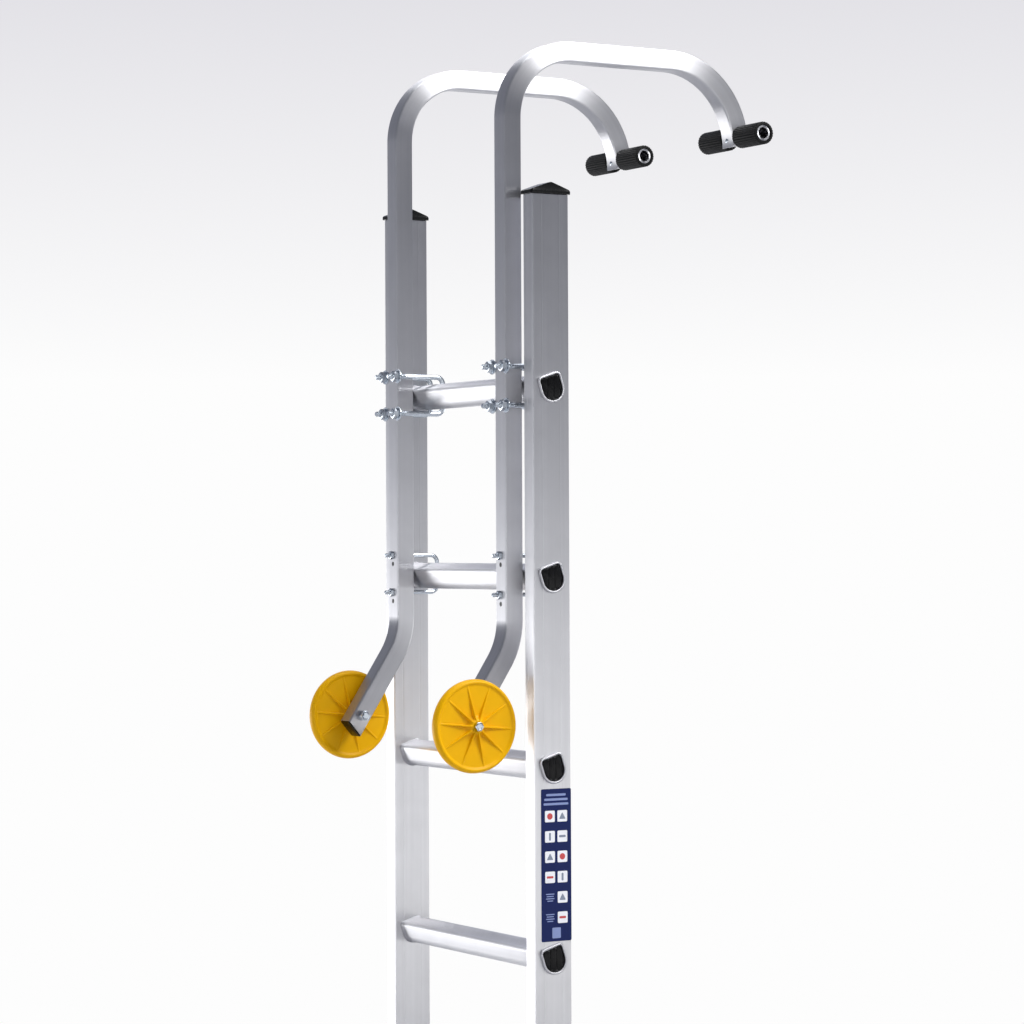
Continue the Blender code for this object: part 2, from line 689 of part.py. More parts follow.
def add_clamps(ladder, side, x, zinc):
    """Two U-bolts astride the tube at the top rung, and one through the tube at the rung below it."""
    face_y = HOOK_Y - HOOK_TUBE / 2 - CLEARANCE
    upper_nut = nut_mesh("upper_nut", UPPER_NUT_FLATS, UPPER_NUT_HEIGHT, UPPER_ROD)
    upper_nut.transform(Matrix.Translation((0, 0, WASHER_THICKNESS - WASHER_SINK)))
    washer = prism(
        "washer",
        [circle(WASHER_RADIUS, 20), circle(UPPER_ROD + CLEARANCE, 12)],
        WASHER_THICKNESS,
    )
    washer.transform(Matrix.Translation((0, 0, WASHER_THICKNESS / 2)))
    upper_nut.transform(FORWARD)
    washer.transform(FORWARD)
    lower_nut = nut_mesh("lower_nut", LOWER_NUT_FLATS, LOWER_NUT_HEIGHT, LOWER_ROD)
    lower_nut.transform(FORWARD)
    outward = 1 if x > 0 else -1
    beside = HOOK_TUBE / 2 + UPPER_ROD + 2 * CLEARANCE
    for where, direction in (("outer", outward), ("inner", -outward)):
        leg_x = x + direction * beside
        name = f"upper_ubolt_{where}_{side}"
        mesh = ubolt_mesh("upper_ubolt", UPPER_ROD, UPPER_TAIL)
        ladder.add(name, mesh, zinc, (leg_x, FLY_Y, FLY_TOP_RUNG), "fly")
        for level, z in zip(("high", "low"), clamp_heights(FLY_TOP_RUNG)):
            nut = ladder.add(
                f"upper_nut_{where}_{level}_{side}",
                upper_nut.copy(),
                zinc,
                (leg_x, face_y, z),
                "fly",
            )
            ladder.boolean(nut, [washer], "UNION")
    second_rung = FLY_TOP_RUNG - RUNG_PITCH
    mesh = ubolt_mesh("lower_ubolt", LOWER_ROD, LOWER_TAIL)
    ladder.add(f"lower_ubolt_{side}", mesh, zinc, (x, FLY_Y, second_rung), "fly")
    for level, z in zip(("high", "low"), clamp_heights(second_rung)):
        ladder.add(f"lower_nut_{level}_{side}", lower_nut, zinc, (x, face_y, z), "fly")


def add_cross_bar(ladder, side, x, metal, rubber):
    """The bar across the hook's end, with a rubber sleeve on each side of the tube."""
    bar_y, bar_z = bar_place()
    centre = Vector((x, HOOK_Y + bar_y, FLY_TOP_RUNG + bar_z))
    bar_length = BAR_LENGTH - 2 * SLEEVE_RECESS
    turned(
        ladder,
        f"cross_bar_{side}",
        tube_profile(bar_length, BAR_RADIUS, BAR_BORE),
        24,
        metal,
        centre,
        "fly",
    )
    inner_end = HOOK_TUBE / 2 + CLEARANCE
    length = BAR_LENGTH / 2 - inner_end
    outward = 1 if x > 0 else -1
    for where, direction in (("outer", outward), ("inner", -outward)):
        middle = centre + Vector((direction * (inner_end + length / 2), 0, 0))
        profile = tube_profile(length, SLEEVE_RADIUS, BAR_RADIUS + CLEARANCE)
        turned(ladder, f"sleeve_{where}_{side}", profile, 28, rubber, middle, "fly")


def add_wheel(ladder, side, x, plastic, zinc):
    """A wheel on the outer side of the tube's lower leg, on a bolt whose nut is inside."""
    outward = 1 if x > 0 else -1
    y = HOOK_Y - HOOK_LEG_OUT
    z = FLY_TOP_RUNG - HOOK_LEG_DROP
    wheel_x = x + outward * (HOOK_TUBE / 2 + AXLE_RUNNING_GAP * 4 + WHEEL_HUB_WIDTH / 2)
    ladder.add_frame(f"wheel_axis_{side}", (wheel_x, y, z), "fly")
    turned(
        ladder,
        f"wheel_{side}",
        wheel_profile(),
        WHEEL_STEPS,
        plastic,
        (wheel_x, y, z),
        f"wheel_axis_{side}",
    )
    head_start = HOOK_TUBE / 2 + AXLE_RUNNING_GAP * 5 + WHEEL_HUB_WIDTH
    nut_start = HOOK_TUBE / 2 + CLEARANCE
    shank_end = nut_start + UPPER_NUT_HEIGHT + AXLE_TAIL
    head_end = head_start + AXLE_HEAD_HEIGHT
    profile = [
        (head_end, 0.0),
        (head_end, 0.6 * AXLE_HEAD_RADIUS),
        (head_start + 0.4 * AXLE_HEAD_HEIGHT, AXLE_HEAD_RADIUS),
        (head_start, AXLE_HEAD_RADIUS),
        (head_start, AXLE_RADIUS),
        (-shank_end, AXLE_RADIUS),
        (-shank_end, 0.0),
    ]
    if outward < 0:
        profile = [(-a, r) for a, r in reversed(profile)]
    turned(ladder, f"wheel_axle_{side}", profile, 20, zinc, (x, y, z), "fly")
    nut = nut_mesh("axle_nut", UPPER_NUT_FLATS, UPPER_NUT_HEIGHT, AXLE_RADIUS)
    nut.transform(ACROSS)
    nut_x = x - outward * nut_start
    if outward > 0:
        nut_x -= UPPER_NUT_HEIGHT
    ladder.add(f"axle_nut_{side}", nut, zinc, (nut_x, y, z), "fly")


def add_hook(ladder, side, sign, materials):
    """One bent square tube with its cross bar, sleeves, wheel and clamps."""
    x = sign * HOOK_SPACING / 2
    strip = prism("hook_tube", [ribbon(hook_path(), HOOK_TUBE)], HOOK_TUBE)
    strip.transform(ACROSS)
    place = (x, HOOK_Y, FLY_TOP_RUNG)
    tube = ladder.add(f"hook_tube_{side}", strip, materials["mill_aluminium"], place, "fly")
    for tools in hook_cuts():
        ladder.boolean(tube, tools)
    add_cross_bar(ladder, side, x, materials["mill_aluminium"], materials["black_rubber"])
    add_wheel(ladder, side, x, materials["yellow_plastic"], materials["zinc_steel"])
    add_clamps(ladder, side, x, materials["zinc_steel"])


def main():
    clear_scene()
    ladder = Ladder()
    materials = {
        "mill_aluminium": make_material("mill_aluminium", (0.62, 0.62, 0.64), 0.38, 1.0),
        "zinc_steel": make_material("zinc_steel", (0.58, 0.61, 0.66), 0.28, 1.0),
        "pressed_steel": make_material("pressed_steel", (0.50, 0.51, 0.53), 0.42, 1.0),
        "yellow_plastic": make_material("yellow_plastic", (0.88, 0.48, 0.01), 0.45),
        "black_rubber": make_material("black_rubber", (0.015, 0.015, 0.017), 0.65),
        "black_plastic": make_material("black_plastic", (0.012, 0.012, 0.013), 0.40),
    }
    metal = materials["mill_aluminium"]
    ladder.add_frame("fly", (0, FLY_Y, FLY_BOTTOM))
    add_section(ladder, "base", BASE_Y, BASE_BOTTOM, metal)
    add_section(ladder, "fly", FLY_Y, FLY_BOTTOM, metal, "fly")
    add_feet(ladder, materials["black_rubber"])
    add_caps(ladder, materials["black_plastic"])
    add_guides(ladder, materials["pressed_steel"])
    add_latches(ladder, materials["pressed_steel"])
    for side, sign in SIDES.items():
        add_hook(ladder, side, sign, materials)


main()
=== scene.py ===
"""Finished surfaces, materials and studio for the extension ladder with its roof hook kit.

Every piece is worked out on a grid in metres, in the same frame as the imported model, and takes its place
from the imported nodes' boxes.
"""

import json
import math

import bmesh
import bpy
import numpy as np
from mathutils import Matrix, Vector


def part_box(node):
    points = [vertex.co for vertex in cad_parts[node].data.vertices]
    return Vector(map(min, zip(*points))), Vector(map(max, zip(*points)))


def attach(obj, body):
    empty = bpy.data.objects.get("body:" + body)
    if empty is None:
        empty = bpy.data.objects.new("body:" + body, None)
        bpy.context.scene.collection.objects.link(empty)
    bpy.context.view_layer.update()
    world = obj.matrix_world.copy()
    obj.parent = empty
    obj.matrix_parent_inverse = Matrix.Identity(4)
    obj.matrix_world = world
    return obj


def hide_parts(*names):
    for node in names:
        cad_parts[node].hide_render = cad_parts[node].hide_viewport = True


bl_info = {
    "name": "Extension Ladder",
    "version": (1, 0, 0),
    "blender": (4, 5, 0),
    "location": "3D View > Sidebar > Ladder",
    "description": "Builds the finished surfaces of an extension ladder with a roof hook kit",
    "category": "Object",
}

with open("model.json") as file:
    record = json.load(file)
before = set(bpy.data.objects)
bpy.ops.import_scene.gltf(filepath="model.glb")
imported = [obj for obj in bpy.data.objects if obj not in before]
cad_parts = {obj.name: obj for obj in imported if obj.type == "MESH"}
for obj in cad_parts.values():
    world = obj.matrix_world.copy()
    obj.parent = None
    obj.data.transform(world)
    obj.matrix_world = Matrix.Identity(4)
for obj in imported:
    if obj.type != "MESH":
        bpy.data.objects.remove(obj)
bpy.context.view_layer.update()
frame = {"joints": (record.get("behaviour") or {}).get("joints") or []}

SIDES = {"right": 1, "left": -1}
SECTIONS = ("base", "fly")
RUNGS = 7
X, Y, Z = np.eye(3)
TURN = 2 * math.pi
MM = 0.001
GAP = 0.3 * MM  # clearance between pieces that touch
HEXAGON_POINTS = 96
PLATE_AND_PIN = ["plated_sheet_steel", "bright_zinc"]


# ---- sizes and colours that a user would change -----------------------------------------------------


def length(name, description, default):
    return bpy.props.FloatProperty(
        name=name, description=description, default=default, unit="LENGTH", precision=5
    )


def srgb(code):
    """Linear RGB of an sRGB hex code: c / 12.92 up to 0.04045, and ((c + 0.055) / 1.055) ** 2.4 above."""
    c = np.array([int(code[i : i + 2], 16) for i in (1, 3, 5)]) / 255
    return tuple(np.where(c <= 0.04045, c / 12.92, ((c + 0.055) / 1.055) ** 2.4))


def angle(name, description, degrees):
    return bpy.props.FloatProperty(
        name=name, description=description, default=math.radians(degrees), subtype="ANGLE"
    )


def colour(name, description, code):
    return bpy.props.FloatVectorProperty(
        name=name, description=description, default=srgb(code), subtype="COLOR", min=0, max=1
    )


class LadderSectionSizes(bpy.types.PropertyGroup):
    """Sizes of the stiles and rungs."""

    stile_wall: length("Stile wall", "Thickness of the box section's wall", 2.0 * MM)
    stile_corner: length("Stile corner", "Outer corner radius of the box section", 2.6 * MM)
    stile_line: length("Stile line", "Depth of the shallow lines along the stile's faces", 0.35 * MM)
    tread: length("Tread", "Width across a rung's tread", 31 * MM)
    rung_height: length("Rung height", "From the tread to the bottom of the round", 33 * MM)
    rung_corner: length("Rung corner", "Corner radius of the tread", 4.5 * MM)
    tread_tilt: angle("Tread tilt", "How far the tread is turned towards the climber", 18)
    tread_pitch: length("Tread rib pitch", "Distance between the ribs on a tread", 2.8 * MM)
    tread_depth: length("Tread rib depth", "Depth of the grooves between them", 0.45 * MM)
    rim: length("Rung rim", "How far the flared end stands out of the stile", 4.6 * MM)
    rim_flare: length("Rung rim flare", "How far the flared end spreads round the hole", 2.9 * MM)
    collar: length("Rung collar", "Length of the bulge against the stile's inner face", 4.2 * MM)


class LadderHookSizes(bpy.types.PropertyGroup):
    """Sizes of the hook tubes, their cross bars and the wheels."""

    tube: length("Tube", "Side of the square tube", 27 * MM)
    wall: length("Tube wall", "Thickness of the tube's wall", 2.0 * MM)
    corner: length("Tube corner", "Outer corner radius of the tube", 2.8 * MM)
    rise: length("Hook rise", "Level run's centre above the top rung's centre", 452.5 * MM)
    first_bend: length("First bend", "Radius of the bend above the ladder", 93.5 * MM)
    second_bend: length("Second bend", "Radius of the bend down to the cross bar", 112 * MM)
    reach: length("Hook reach", "From the tube on the ladder to the hook's end", 364.5 * MM)
    leg_bend: length("Leg bend", "Radius of the bend above the wheel", 100 * MM)
    leg_angle: angle("Leg angle", "How far the lower leg stands out from the ladder", 33)
    leg_drop: length("Leg drop", "Wheel axle below the top rung's centre", 442 * MM)
    leg_out: length("Leg reach", "Wheel axle in front of the tube on the ladder", 69.5 * MM)
    leg_tail: length("Leg tail", "Tube beyond the axle", 25 * MM)
    leg_cut: length("Leg cut", "How much shorter the leg's front is than its back", 8 * MM)
    sleeve_rib: length("Sleeve rib", "Depth of the grooves along a rubber sleeve", 0.9 * MM)
    wheel_rib: length("Wheel rib", "Width of a wheel's radial rib", 2.0 * MM)


class LadderFixingSizes(bpy.types.PropertyGroup):
    """Sizes of the threads, nuts and strips."""

    upper_thread: length("Upper thread pitch", "Thread pitch of the upper U-bolts", 1.25 * MM)
    lower_thread: length("Lower thread pitch", "Thread pitch of the lower U-bolts", 1.0 * MM)
    threaded: length("Threaded length", "Length of thread on each U-bolt leg", 28 * MM)
    guide_bend: length("Guide bend", "Inner radius of the guide strips' bends", 3 * MM)
    plate_edge: length("Plate edge", "Radius of the pressed plates' edges", 0.6 * MM)
    label_width: length("Label width", "Width of the pictogram label", 46 * MM)
    label_height: length("Label height", "Height of the pictogram label", 200 * MM)


class LadderColours(bpy.types.PropertyGroup):
    """Colours of the finishes."""

    aluminium: colour("Aluminium", "Mill-finish extrusion", "#D3D3D6")
    zinc: colour("Zinc plate", "Bright zinc on bolts and nuts", "#CBD2D9")
    steel: colour("Pressed steel", "Dull zinc on guides and latches", "#A9ACB0")
    yellow: colour("Yellow", "Moulded wheels", "#EBB000")
    rubber: colour("Rubber", "Sleeves and feet", "#0B0B0C")
    plastic: colour("Black plastic", "Caps and plugs", "#070708")
    film: colour("Label film", "Ground of the label", "#122053")
    floor: colour("Floor", "Studio floor", "#F1F1F3")
    backdrop_low: colour("Backdrop low", "Studio behind the ladder, from eye level down", "#FDFDFD")
    backdrop_high: colour("Backdrop high", "Studio behind the ladder, near the top", "#E2E1E6")


GROUPS = {
    "ladder_section": LadderSectionSizes,
    "ladder_hook": LadderHookSizes,
    "ladder_fixings": LadderFixingSizes,
    "ladder_colours": LadderColours,
}


# ---- outlines and paths ------------------------------------------------------------------------------


def arc(centre, radius, start, end, count):
    """Points centre + radius (cos a, sin a) with a running evenly from start to end."""
    a = np.linspace(start, end, count)
    return np.array(centre) + radius * np.stack([np.cos(a), np.sin(a)], -1)


def rounded_box(width, depth, corner, count=7):
    """A rectangle's outline with round corners: corner k is an arc from 90 k to 90 k + 90 degrees."""
    half = np.array([width / 2 - corner, depth / 2 - corner])
    signs = ((1, 1), (-1, 1), (-1, -1), (1, -1))
    quarter = TURN / 4
    return np.concatenate(
        [arc(half * s, corner, k * quarter, (k + 1) * quarter, count) for k, s in enumerate(signs)]
    )


def spaced(outline, count, closed=True):
    """The same line with a number of points at even distances along it."""
    line = np.concatenate([outline, outline[:1]]) if closed else outline
    run = np.concatenate([[0], np.cumsum(np.linalg.norm(np.diff(line, axis=0), axis=1))])
    at = np.linspace(0, run[-1], count, endpoint=not closed)
    return np.stack([np.interp(at, run, line[:, k]) for k in range(line.shape[1])], -1)


def outward(outline):
    """Unit normals of a closed outline that runs anticlockwise: its direction turned a quarter back."""
    along = np.roll(outline, -1, 0) - np.roll(outline, 1, 0)
    along /= np.linalg.norm(along, axis=1, keepdims=True)
    return np.stack([along[:, 1], -along[:, 0]], -1)


def bent(points, radii, step=math.radians(3), closed=False):
    """A line through points with an arc of its own radius in place of each inner corner.

    An arc that turns the line by t starts radius * tan(t / 2) before the corner.
    """
    points = np.array(points, float)
    count = len(points)
    line = [] if closed else [points[0]]
    for i in range(count) if closed else range(1, count - 1):
        here = points[i]
        before = points[i - 1] - here
        after = points[(i + 1) % count] - here
        before /= np.linalg.norm(before)
        after /= np.linalg.norm(after)
        turn = math.pi - math.acos(np.clip(before @ after, -1, 1))
        radius = radii[i] if np.ndim(radii) else radii
        middle = before + after
        centre = here + middle / np.linalg.norm(middle) * radius / math.cos(turn / 2)
        start = here + before * radius * math.tan(turn / 2) - centre
        side = -before - start * (-before @ start) / (start @ start)
        side *= radius / np.linalg.norm(side)
        a = np.linspace(0, turn, max(3, round(turn / step)))[:, None]
        line.extend(centre + start * np.cos(a) + side * np.sin(a))
    if not closed:
        line.append(points[-1])
    return np.array(line)


def run_of(path):
    """Distance along a path at each of its points."""
    return np.concatenate([[0], np.cumsum(np.linalg.norm(np.diff(path, axis=0), axis=1))])


def tangents(path):
    """Unit direction at each point of an open path: the mean of the two edges that meet there."""
    edges = np.diff(path, axis=0)
    edges /= np.linalg.norm(edges, axis=1, keepdims=True)
    both = np.concatenate([edges[:1], edges[:-1] + edges[1:], edges[-1:]])
    return both / np.linalg.norm(both, axis=1, keepdims=True)


def carried(path, first, second, outlines):
    """Grid of an outline carried along a path: path + outline[0] * first + outline[1] * second."""
    first = np.broadcast_to(first, path.shape)[:, None]
    second = np.broadcast_to(second, path.shape)[:, None]
    outlines = np.broadcast_to(outlines, (len(path), *np.shape(outlines)[-2:]))
    return path[:, None] + outlines[..., :1] * first + outlines[..., 1:] * second


def straight(centre, axis, along):
    """Points of a straight path: centre + distance * axis."""
    return np.array(centre) + np.array(along)[:, None] * axis


def upright(middle, heights):
    """Points of an upright path through a place, at these heights."""
    return straight([middle[0], middle[1], 0.0], Z, heights)


def turned(centre, axis, along, radii, count=48):
    """Grid of a shape turned about an axis: centre + along * axis + r (cos a, sin a) across it.

    radii has a number for each row, or one for each row and angle.
    """
    a = np.arange(count) * TURN / count
    first, second = np.roll(axis, 1), np.roll(axis, 2)
    radii = np.array(radii)
    radii = np.broadcast_to(radii[:, None] if radii.ndim == 1 else radii, (len(along), count))
    ring = np.cos(a)[:, None] * first + np.sin(a)[:, None] * second
    return straight(centre, axis, along)[:, None] + radii[..., None] * ring


# ---- meshes ------------------------------------------------------------------------------------------


def surface(points, wrap_rows=False, wrap_columns=True, caps=False, finish=0):
    """A grid of points with how it closes, whether its end rows are filled, and its finish's number."""
    return {
        "points": np.asarray(points, float),
        "wrap": (wrap_rows, wrap_columns),
        "caps": caps,
        "finish": finish,
    }


def running(points, axis, wrap):
    """Mean distance run one way across a grid, at each of its lines and back at the first if it wraps."""
    if wrap:
        points = np.concatenate([points, points.take([0], axis)], axis)
    steps = np.linalg.norm(np.diff(points, axis=axis), axis=-1).mean(1 - axis)
    return np.concatenate([[0.0], np.cumsum(steps)])


def grid_faces(shape):
    """Corner numbers and UVs of a grid's quads: U is the distance along the rows, V that around them."""
    rows, columns = shape["points"].shape[:2]
    wrap_rows, wrap_columns = shape["wrap"]
    a, b = np.meshgrid(
        np.arange(rows if wrap_rows else rows - 1),
        np.arange(columns if wrap_columns else columns - 1),
        indexing="ij",
    )
    row = np.stack([a, a + 1, a + 1, a], -1).reshape(-1, 4)
    column = np.stack([b, b, b + 1, b + 1], -1).reshape(-1, 4)
    along = running(shape["points"], 0, wrap_rows)
    around = running(shape["points"], 1, wrap_columns)
    uvs = np.stack([along[row], around[column]], -1).reshape(-1, 2)
    return row % rows * columns + column % columns, uvs


def make_piece(name, shapes, finishes, body, nodes=(), sharp=35):
    """One object from grids, closed and facing outwards, riding on a body in place of CAD nodes."""
    vertices, faces, uvs, numbers = [], [], [], []
    start = 0
    for shape in shapes:
        points = shape["points"]
        rows, columns = points.shape[:2]
        quads, quad_uvs = grid_faces(shape)
        vertices.append(points.reshape(-1, 3))
        faces.extend((quads + start).tolist())
        uvs.append(quad_uvs)
        numbers.extend([shape["finish"]] * len(quads))
        if shape["caps"]:
            for first in (0, (rows - 1) * columns):
                faces.append((np.arange(columns) + first + start).tolist())
                ring = points.reshape(-1, 3)[first : first + columns]
                spread = np.argsort(-np.ptp(ring, axis=0))[:2]
                uvs.append(ring[:, spread])
                numbers.append(shape["finish"])
        start += rows * columns
    mesh = bpy.data.meshes.new(name)
    mesh.from_pydata(np.concatenate(vertices).tolist(), [], faces)
    layer = mesh.uv_layers.new(name="run")
    layer.data.foreach_set("uv", np.concatenate(uvs).astype(np.float32).ravel())
    mesh.polygons.foreach_set("material_index", numbers)
    close_up(mesh)
    for finish in finishes:
        mesh.materials.append(bpy.data.materials[finish])
    mesh.shade_smooth()
    mesh.set_sharp_from_angle(angle=math.radians(sharp))
    piece = bpy.data.objects.new(name, mesh)
    bpy.context.scene.collection.objects.link(piece)
    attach(piece, body)
    if nodes:
        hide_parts(*nodes)
    return piece


def close_up(mesh):
    """Welds a mesh's seams and poles and turns its faces outwards."""
    work = bmesh.new()
    work.from_mesh(mesh)
    bmesh.ops.remove_doubles(work, verts=work.verts, dist=1e-7)
    bmesh.ops.recalc_face_normals(work, faces=work.faces)
    work.to_mesh(mesh)
    work.free()


def node_box(name):
    """Lowest corner, highest corner and middle of a CAD node, as arrays."""
    low, high = (np.array(c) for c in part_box(name))
    return low, high, (low + high) / 2


def reach_of(name):
    """The least and the greatest distance of a CAD node from the ladder's middle plane."""
    low, high, _ = node_box(name)
    return sorted((abs(low[0]), abs(high[0])))


# ---- materials ---------------------------------------------------------------------------------------


def add(tree, kind, inputs=(), **settings):
    """Adds a node. Each input is a socket's name with a value or another node's output."""
    made = tree.nodes.new(kind)
    for key, value in settings.items():
        setattr(made, key, value)
    for key, value in dict(inputs).items():
        if isinstance(value, bpy.types.NodeSocket):
            tree.links.new(value, made.inputs[key])
        else:
            made.inputs[key].default_value = value
    return made


def new_material(name, settings):
    """A material with a Principled BSDF that has these settings, and its node tree."""
    material = bpy.data.materials.new(name)
    material.use_nodes = True
    tree = material.node_tree
    shader = tree.nodes["Principled BSDF"]
    for key, value in settings.items():
        shader.inputs[key].default_value = value
    return tree, shader


def shade_of(base, factor):
    """A colour made lighter or darker, as RGBA."""
    return (*(min(1.0, c * factor) for c in base), 1.0)


def noise(tree, vector, scale, **more):
    """Noise at a place, its details named as the node's inputs are."""
    inputs = {"Vector": vector, "Scale": scale, **more}
    return add(tree, "ShaderNodeTexNoise", inputs).outputs["Fac"]


def stretched(tree, vector, *sizes):
    """A place counted in sizes: each coordinate is divided by its own."""
    inputs = {"Vector": vector, "Scale": [1 / size for size in sizes]}
    return add(tree, "ShaderNodeMapping", inputs).outputs["Vector"]


def ranged(tree, value, start, end, low, high, **settings):
    """A value that runs from start to end, made to run from low to high."""
    inputs = {"Value": value, "From Min": start, "From Max": end, "To Min": low, "To Max": high}
    return add(tree, "ShaderNodeMapRange", inputs, **settings).outputs["Result"]


def blended(tree, factor, first, second):
    """One colour at factor 0 and another at factor 1."""
    inputs = {"Factor": factor, "A": first, "B": second}
    return add(tree, "ShaderNodeMix", inputs, data_type="RGBA").outputs[2]


def tinted(tree, shader, factor, base, low, high):
    """Base colour between low and high times a colour."""
    tint = blended(tree, factor, shade_of(base, low), shade_of(base, high))
    tree.links.new(tint, shader.inputs["Base Color"])


def roughened(tree, shader, value, low, high, start=0.0, end=1.0):
    """Roughness between low and high as a value runs from start to end."""
    tree.links.new(ranged(tree, value, start, end, low, high), shader.inputs["Roughness"])


def bumped(tree, shader, height, strength, distance):
    """A bump of a real depth on the shader."""
    inputs = {"Height": height, "Strength": strength, "Distance": distance}
    bump = add(tree, "ShaderNodeBump", inputs)
    tree.links.new(bump.outputs["Normal"], shader.inputs["Normal"])


def object_place(tree):
    """Place on the object, in metres."""
    return add(tree, "ShaderNodeTexCoord").outputs["Object"]


def extruded_aluminium(colours):
    """Extruded aluminium as it leaves the die: satin, with fine die lines and streaks along its length.

    Real die lines are about 0.2 mm apart. They are drawn 1.1 mm apart so that they show.
    """
    settings = {"Metallic": 1.0, "Anisotropic": 0.95, "Anisotropic Rotation": 0.25}
    tree, shader = new_material("extruded_aluminium", settings)
    way = add(tree, "ShaderNodeTangent", direction_type="UV_MAP", uv_map="run")
    tree.links.new(way.outputs["Tangent"], shader.inputs["Tangent"])
    run = add(tree, "ShaderNodeUVMap", uv_map="run").outputs["UV"]
    lines = noise(tree, stretched(tree, run, 0.45, 1.1 * MM, 1.0), 1.0, Detail=3.0, Roughness=0.6)
    streaks = noise(tree, stretched(tree, run, 0.9, 9 * MM, 1.0), 1.0, Detail=2.0)
    clouds = noise(tree, object_place(tree), 1 / (45 * MM), Detail=4.0, Roughness=0.55)
    mixed = add(tree, "ShaderNodeMath", {0: streaks, 1: clouds, 2: 0.22}, operation="MULTIPLY_ADD")
    tinted(tree, shader, mixed.outputs[0], colours.aluminium, 0.80, 1.10)
    roughened(tree, shader, lines, 0.33, 0.43, 0.3, 0.7)
    bumped(tree, shader, lines, 0.10, 0.25 * MM)


def bright_zinc(colours):
    """Electroplated zinc with a clear passivate: glossy, slightly blue, with faint cloudy patches."""
    tree, shader = new_material("bright_zinc", {"Metallic": 1.0})
    clouds = noise(tree, object_place(tree), 1 / (5 * MM), Detail=3.0)
    tinted(tree, shader, clouds, colours.zinc, 0.86, 1.08)
    roughened(tree, shader, clouds, 0.14, 0.30)


def plated_sheet_steel(colours):
    """Sheet steel, cut, bent and dull zinc plated: an even grey with rolling marks across it."""
    tree, shader = new_material("plated_sheet_steel", {"Metallic": 1.0})
    rolled = stretched(tree, object_place(tree), 0.8 * MM, 14 * MM, 0.8 * MM)
    marks = noise(tree, rolled, 1.0, Detail=3.0)
    tinted(tree, shader, marks, colours.steel, 0.85, 1.12)
    roughened(tree, shader, marks, 0.32, 0.52)
    bumped(tree, shader, marks, 0.12, 0.15 * MM)


def moulded(name, base, spread, roughness, grain, bump_depth, settings):
    """Moulded plastic or rubber: one colour with faint mottling and a fine grain of a real size."""
    tree, shader = new_material(name, settings)
    place = object_place(tree)
    mottle = noise(tree, place, 1 / (18 * MM), Detail=2.0)
    tinted(tree, shader, mottle, base, 1 - spread, 1 + spread)
    fine = noise(tree, place, 1 / grain, Detail=2.0)
    roughened(tree, shader, fine, roughness - 0.07, roughness + 0.07)
    bumped(tree, shader, fine, 0.25, bump_depth)


def make_materials(colours):
    """All of the ladder's finishes."""
    extruded_aluminium(colours)
    bright_zinc(colours)
    plated_sheet_steel(colours)
    level = "Specular IOR Level"
    mouldings = [
        # Injection-moulded polypropylene: a saturated yellow under a satin skin.
        ("yellow_polypropylene", colours.yellow, 0.05, 0.38, 0.9, 0.03, {level: 0.15}),
        # Moulded rubber: nearly black, matt, with a dusty grain.
        ("moulded_rubber", colours.rubber, 0.20, 0.50, 0.7, 0.05, {level: 0.15}),
        # Moulded polyethylene caps: black with a soft sheen.
        ("black_polyethylene", colours.plastic, 0.15, 0.27, 0.8, 0.03, {level: 0.22}),
        # Printed film: a dark blue ground, smooth and barely glossy.
        ("label_film", colours.film, 0.04, 0.34, 1.2, 0.01, {level: 0.2}),
    ]
    # Inks on the film under a clear laminate: flat colours with a faint second shine.
    inks = {"white": "#EDEEF2", "grey": "#7D8798", "pale_blue": "#7E8EBE", "red": "#C23B3B"}
    for ink, code in inks.items():
        spread = 0.02 if ink == "white" else 0.04
        mouldings.append((f"label_{ink}", srgb(code), spread, 0.30, 1.2, 0.01, {"Coat Weight": 0.3}))
    for name, base, spread, roughness, grain, depth, settings in mouldings:
        moulded(name, base, spread, roughness, grain * MM, depth * MM, settings)


# ---- the ladder's pieces -----------------------------------------------------------------------------


def stile_outline(sizes, width, depth):
    """Box section with shallow lines along it: the outline less line * exp(-(d / 0.5 mm) ** 2).

    d is the distance from a line: two on each wide face and one on each narrow one.
    """
    outline = spaced(rounded_box(width, depth, sizes.stile_corner, 9), 320)
    normal = outward(outline)
    wide = np.abs(normal[:, 0]) > 0.99
    narrow = np.abs(normal[:, 1]) > 0.99
    from_wide = np.abs(np.abs(outline[:, 1]) - depth * 0.24)
    from_narrow = np.abs(outline[:, 0] + width * 0.08)
    gap = np.where(wide, from_wide, np.where(narrow, from_narrow, 1.0))
    return outline - normal * (sizes.stile_line * np.exp(-((gap / (0.5 * MM)) ** 2)))[:, None]


def make_stiles(context):
    """Hollow stiles: an outer and an inner outline carried up and back down the section."""
    sizes = context.scene.ladder_section
    wall = 2 * sizes.stile_wall
    edge = 0.25 * MM
    for section in SECTIONS:
        for side in SIDES:
            node = f"{section}_stile_{side}"
            low, high, middle = node_box(node)
            width, depth = (high - low)[:2]
            outer = stile_outline(sizes, width, depth)
            inner = spaced(rounded_box(width - wall, depth - wall, 0.4 * MM, 5), len(outer))
            heights = [low[2], low[2] + edge, high[2] - edge, high[2], high[2], low[2]]
            trimmed = outer - outward(outer) * edge
            outlines = np.stack([trimmed, outer, outer, trimmed, inner, inner])
            shape = surface(carried(upright(middle, heights), X, Y, outlines), wrap_rows=True)
            make_piece(f"{node}_skin", [shape], ["extruded_aluminium"], section, [node])


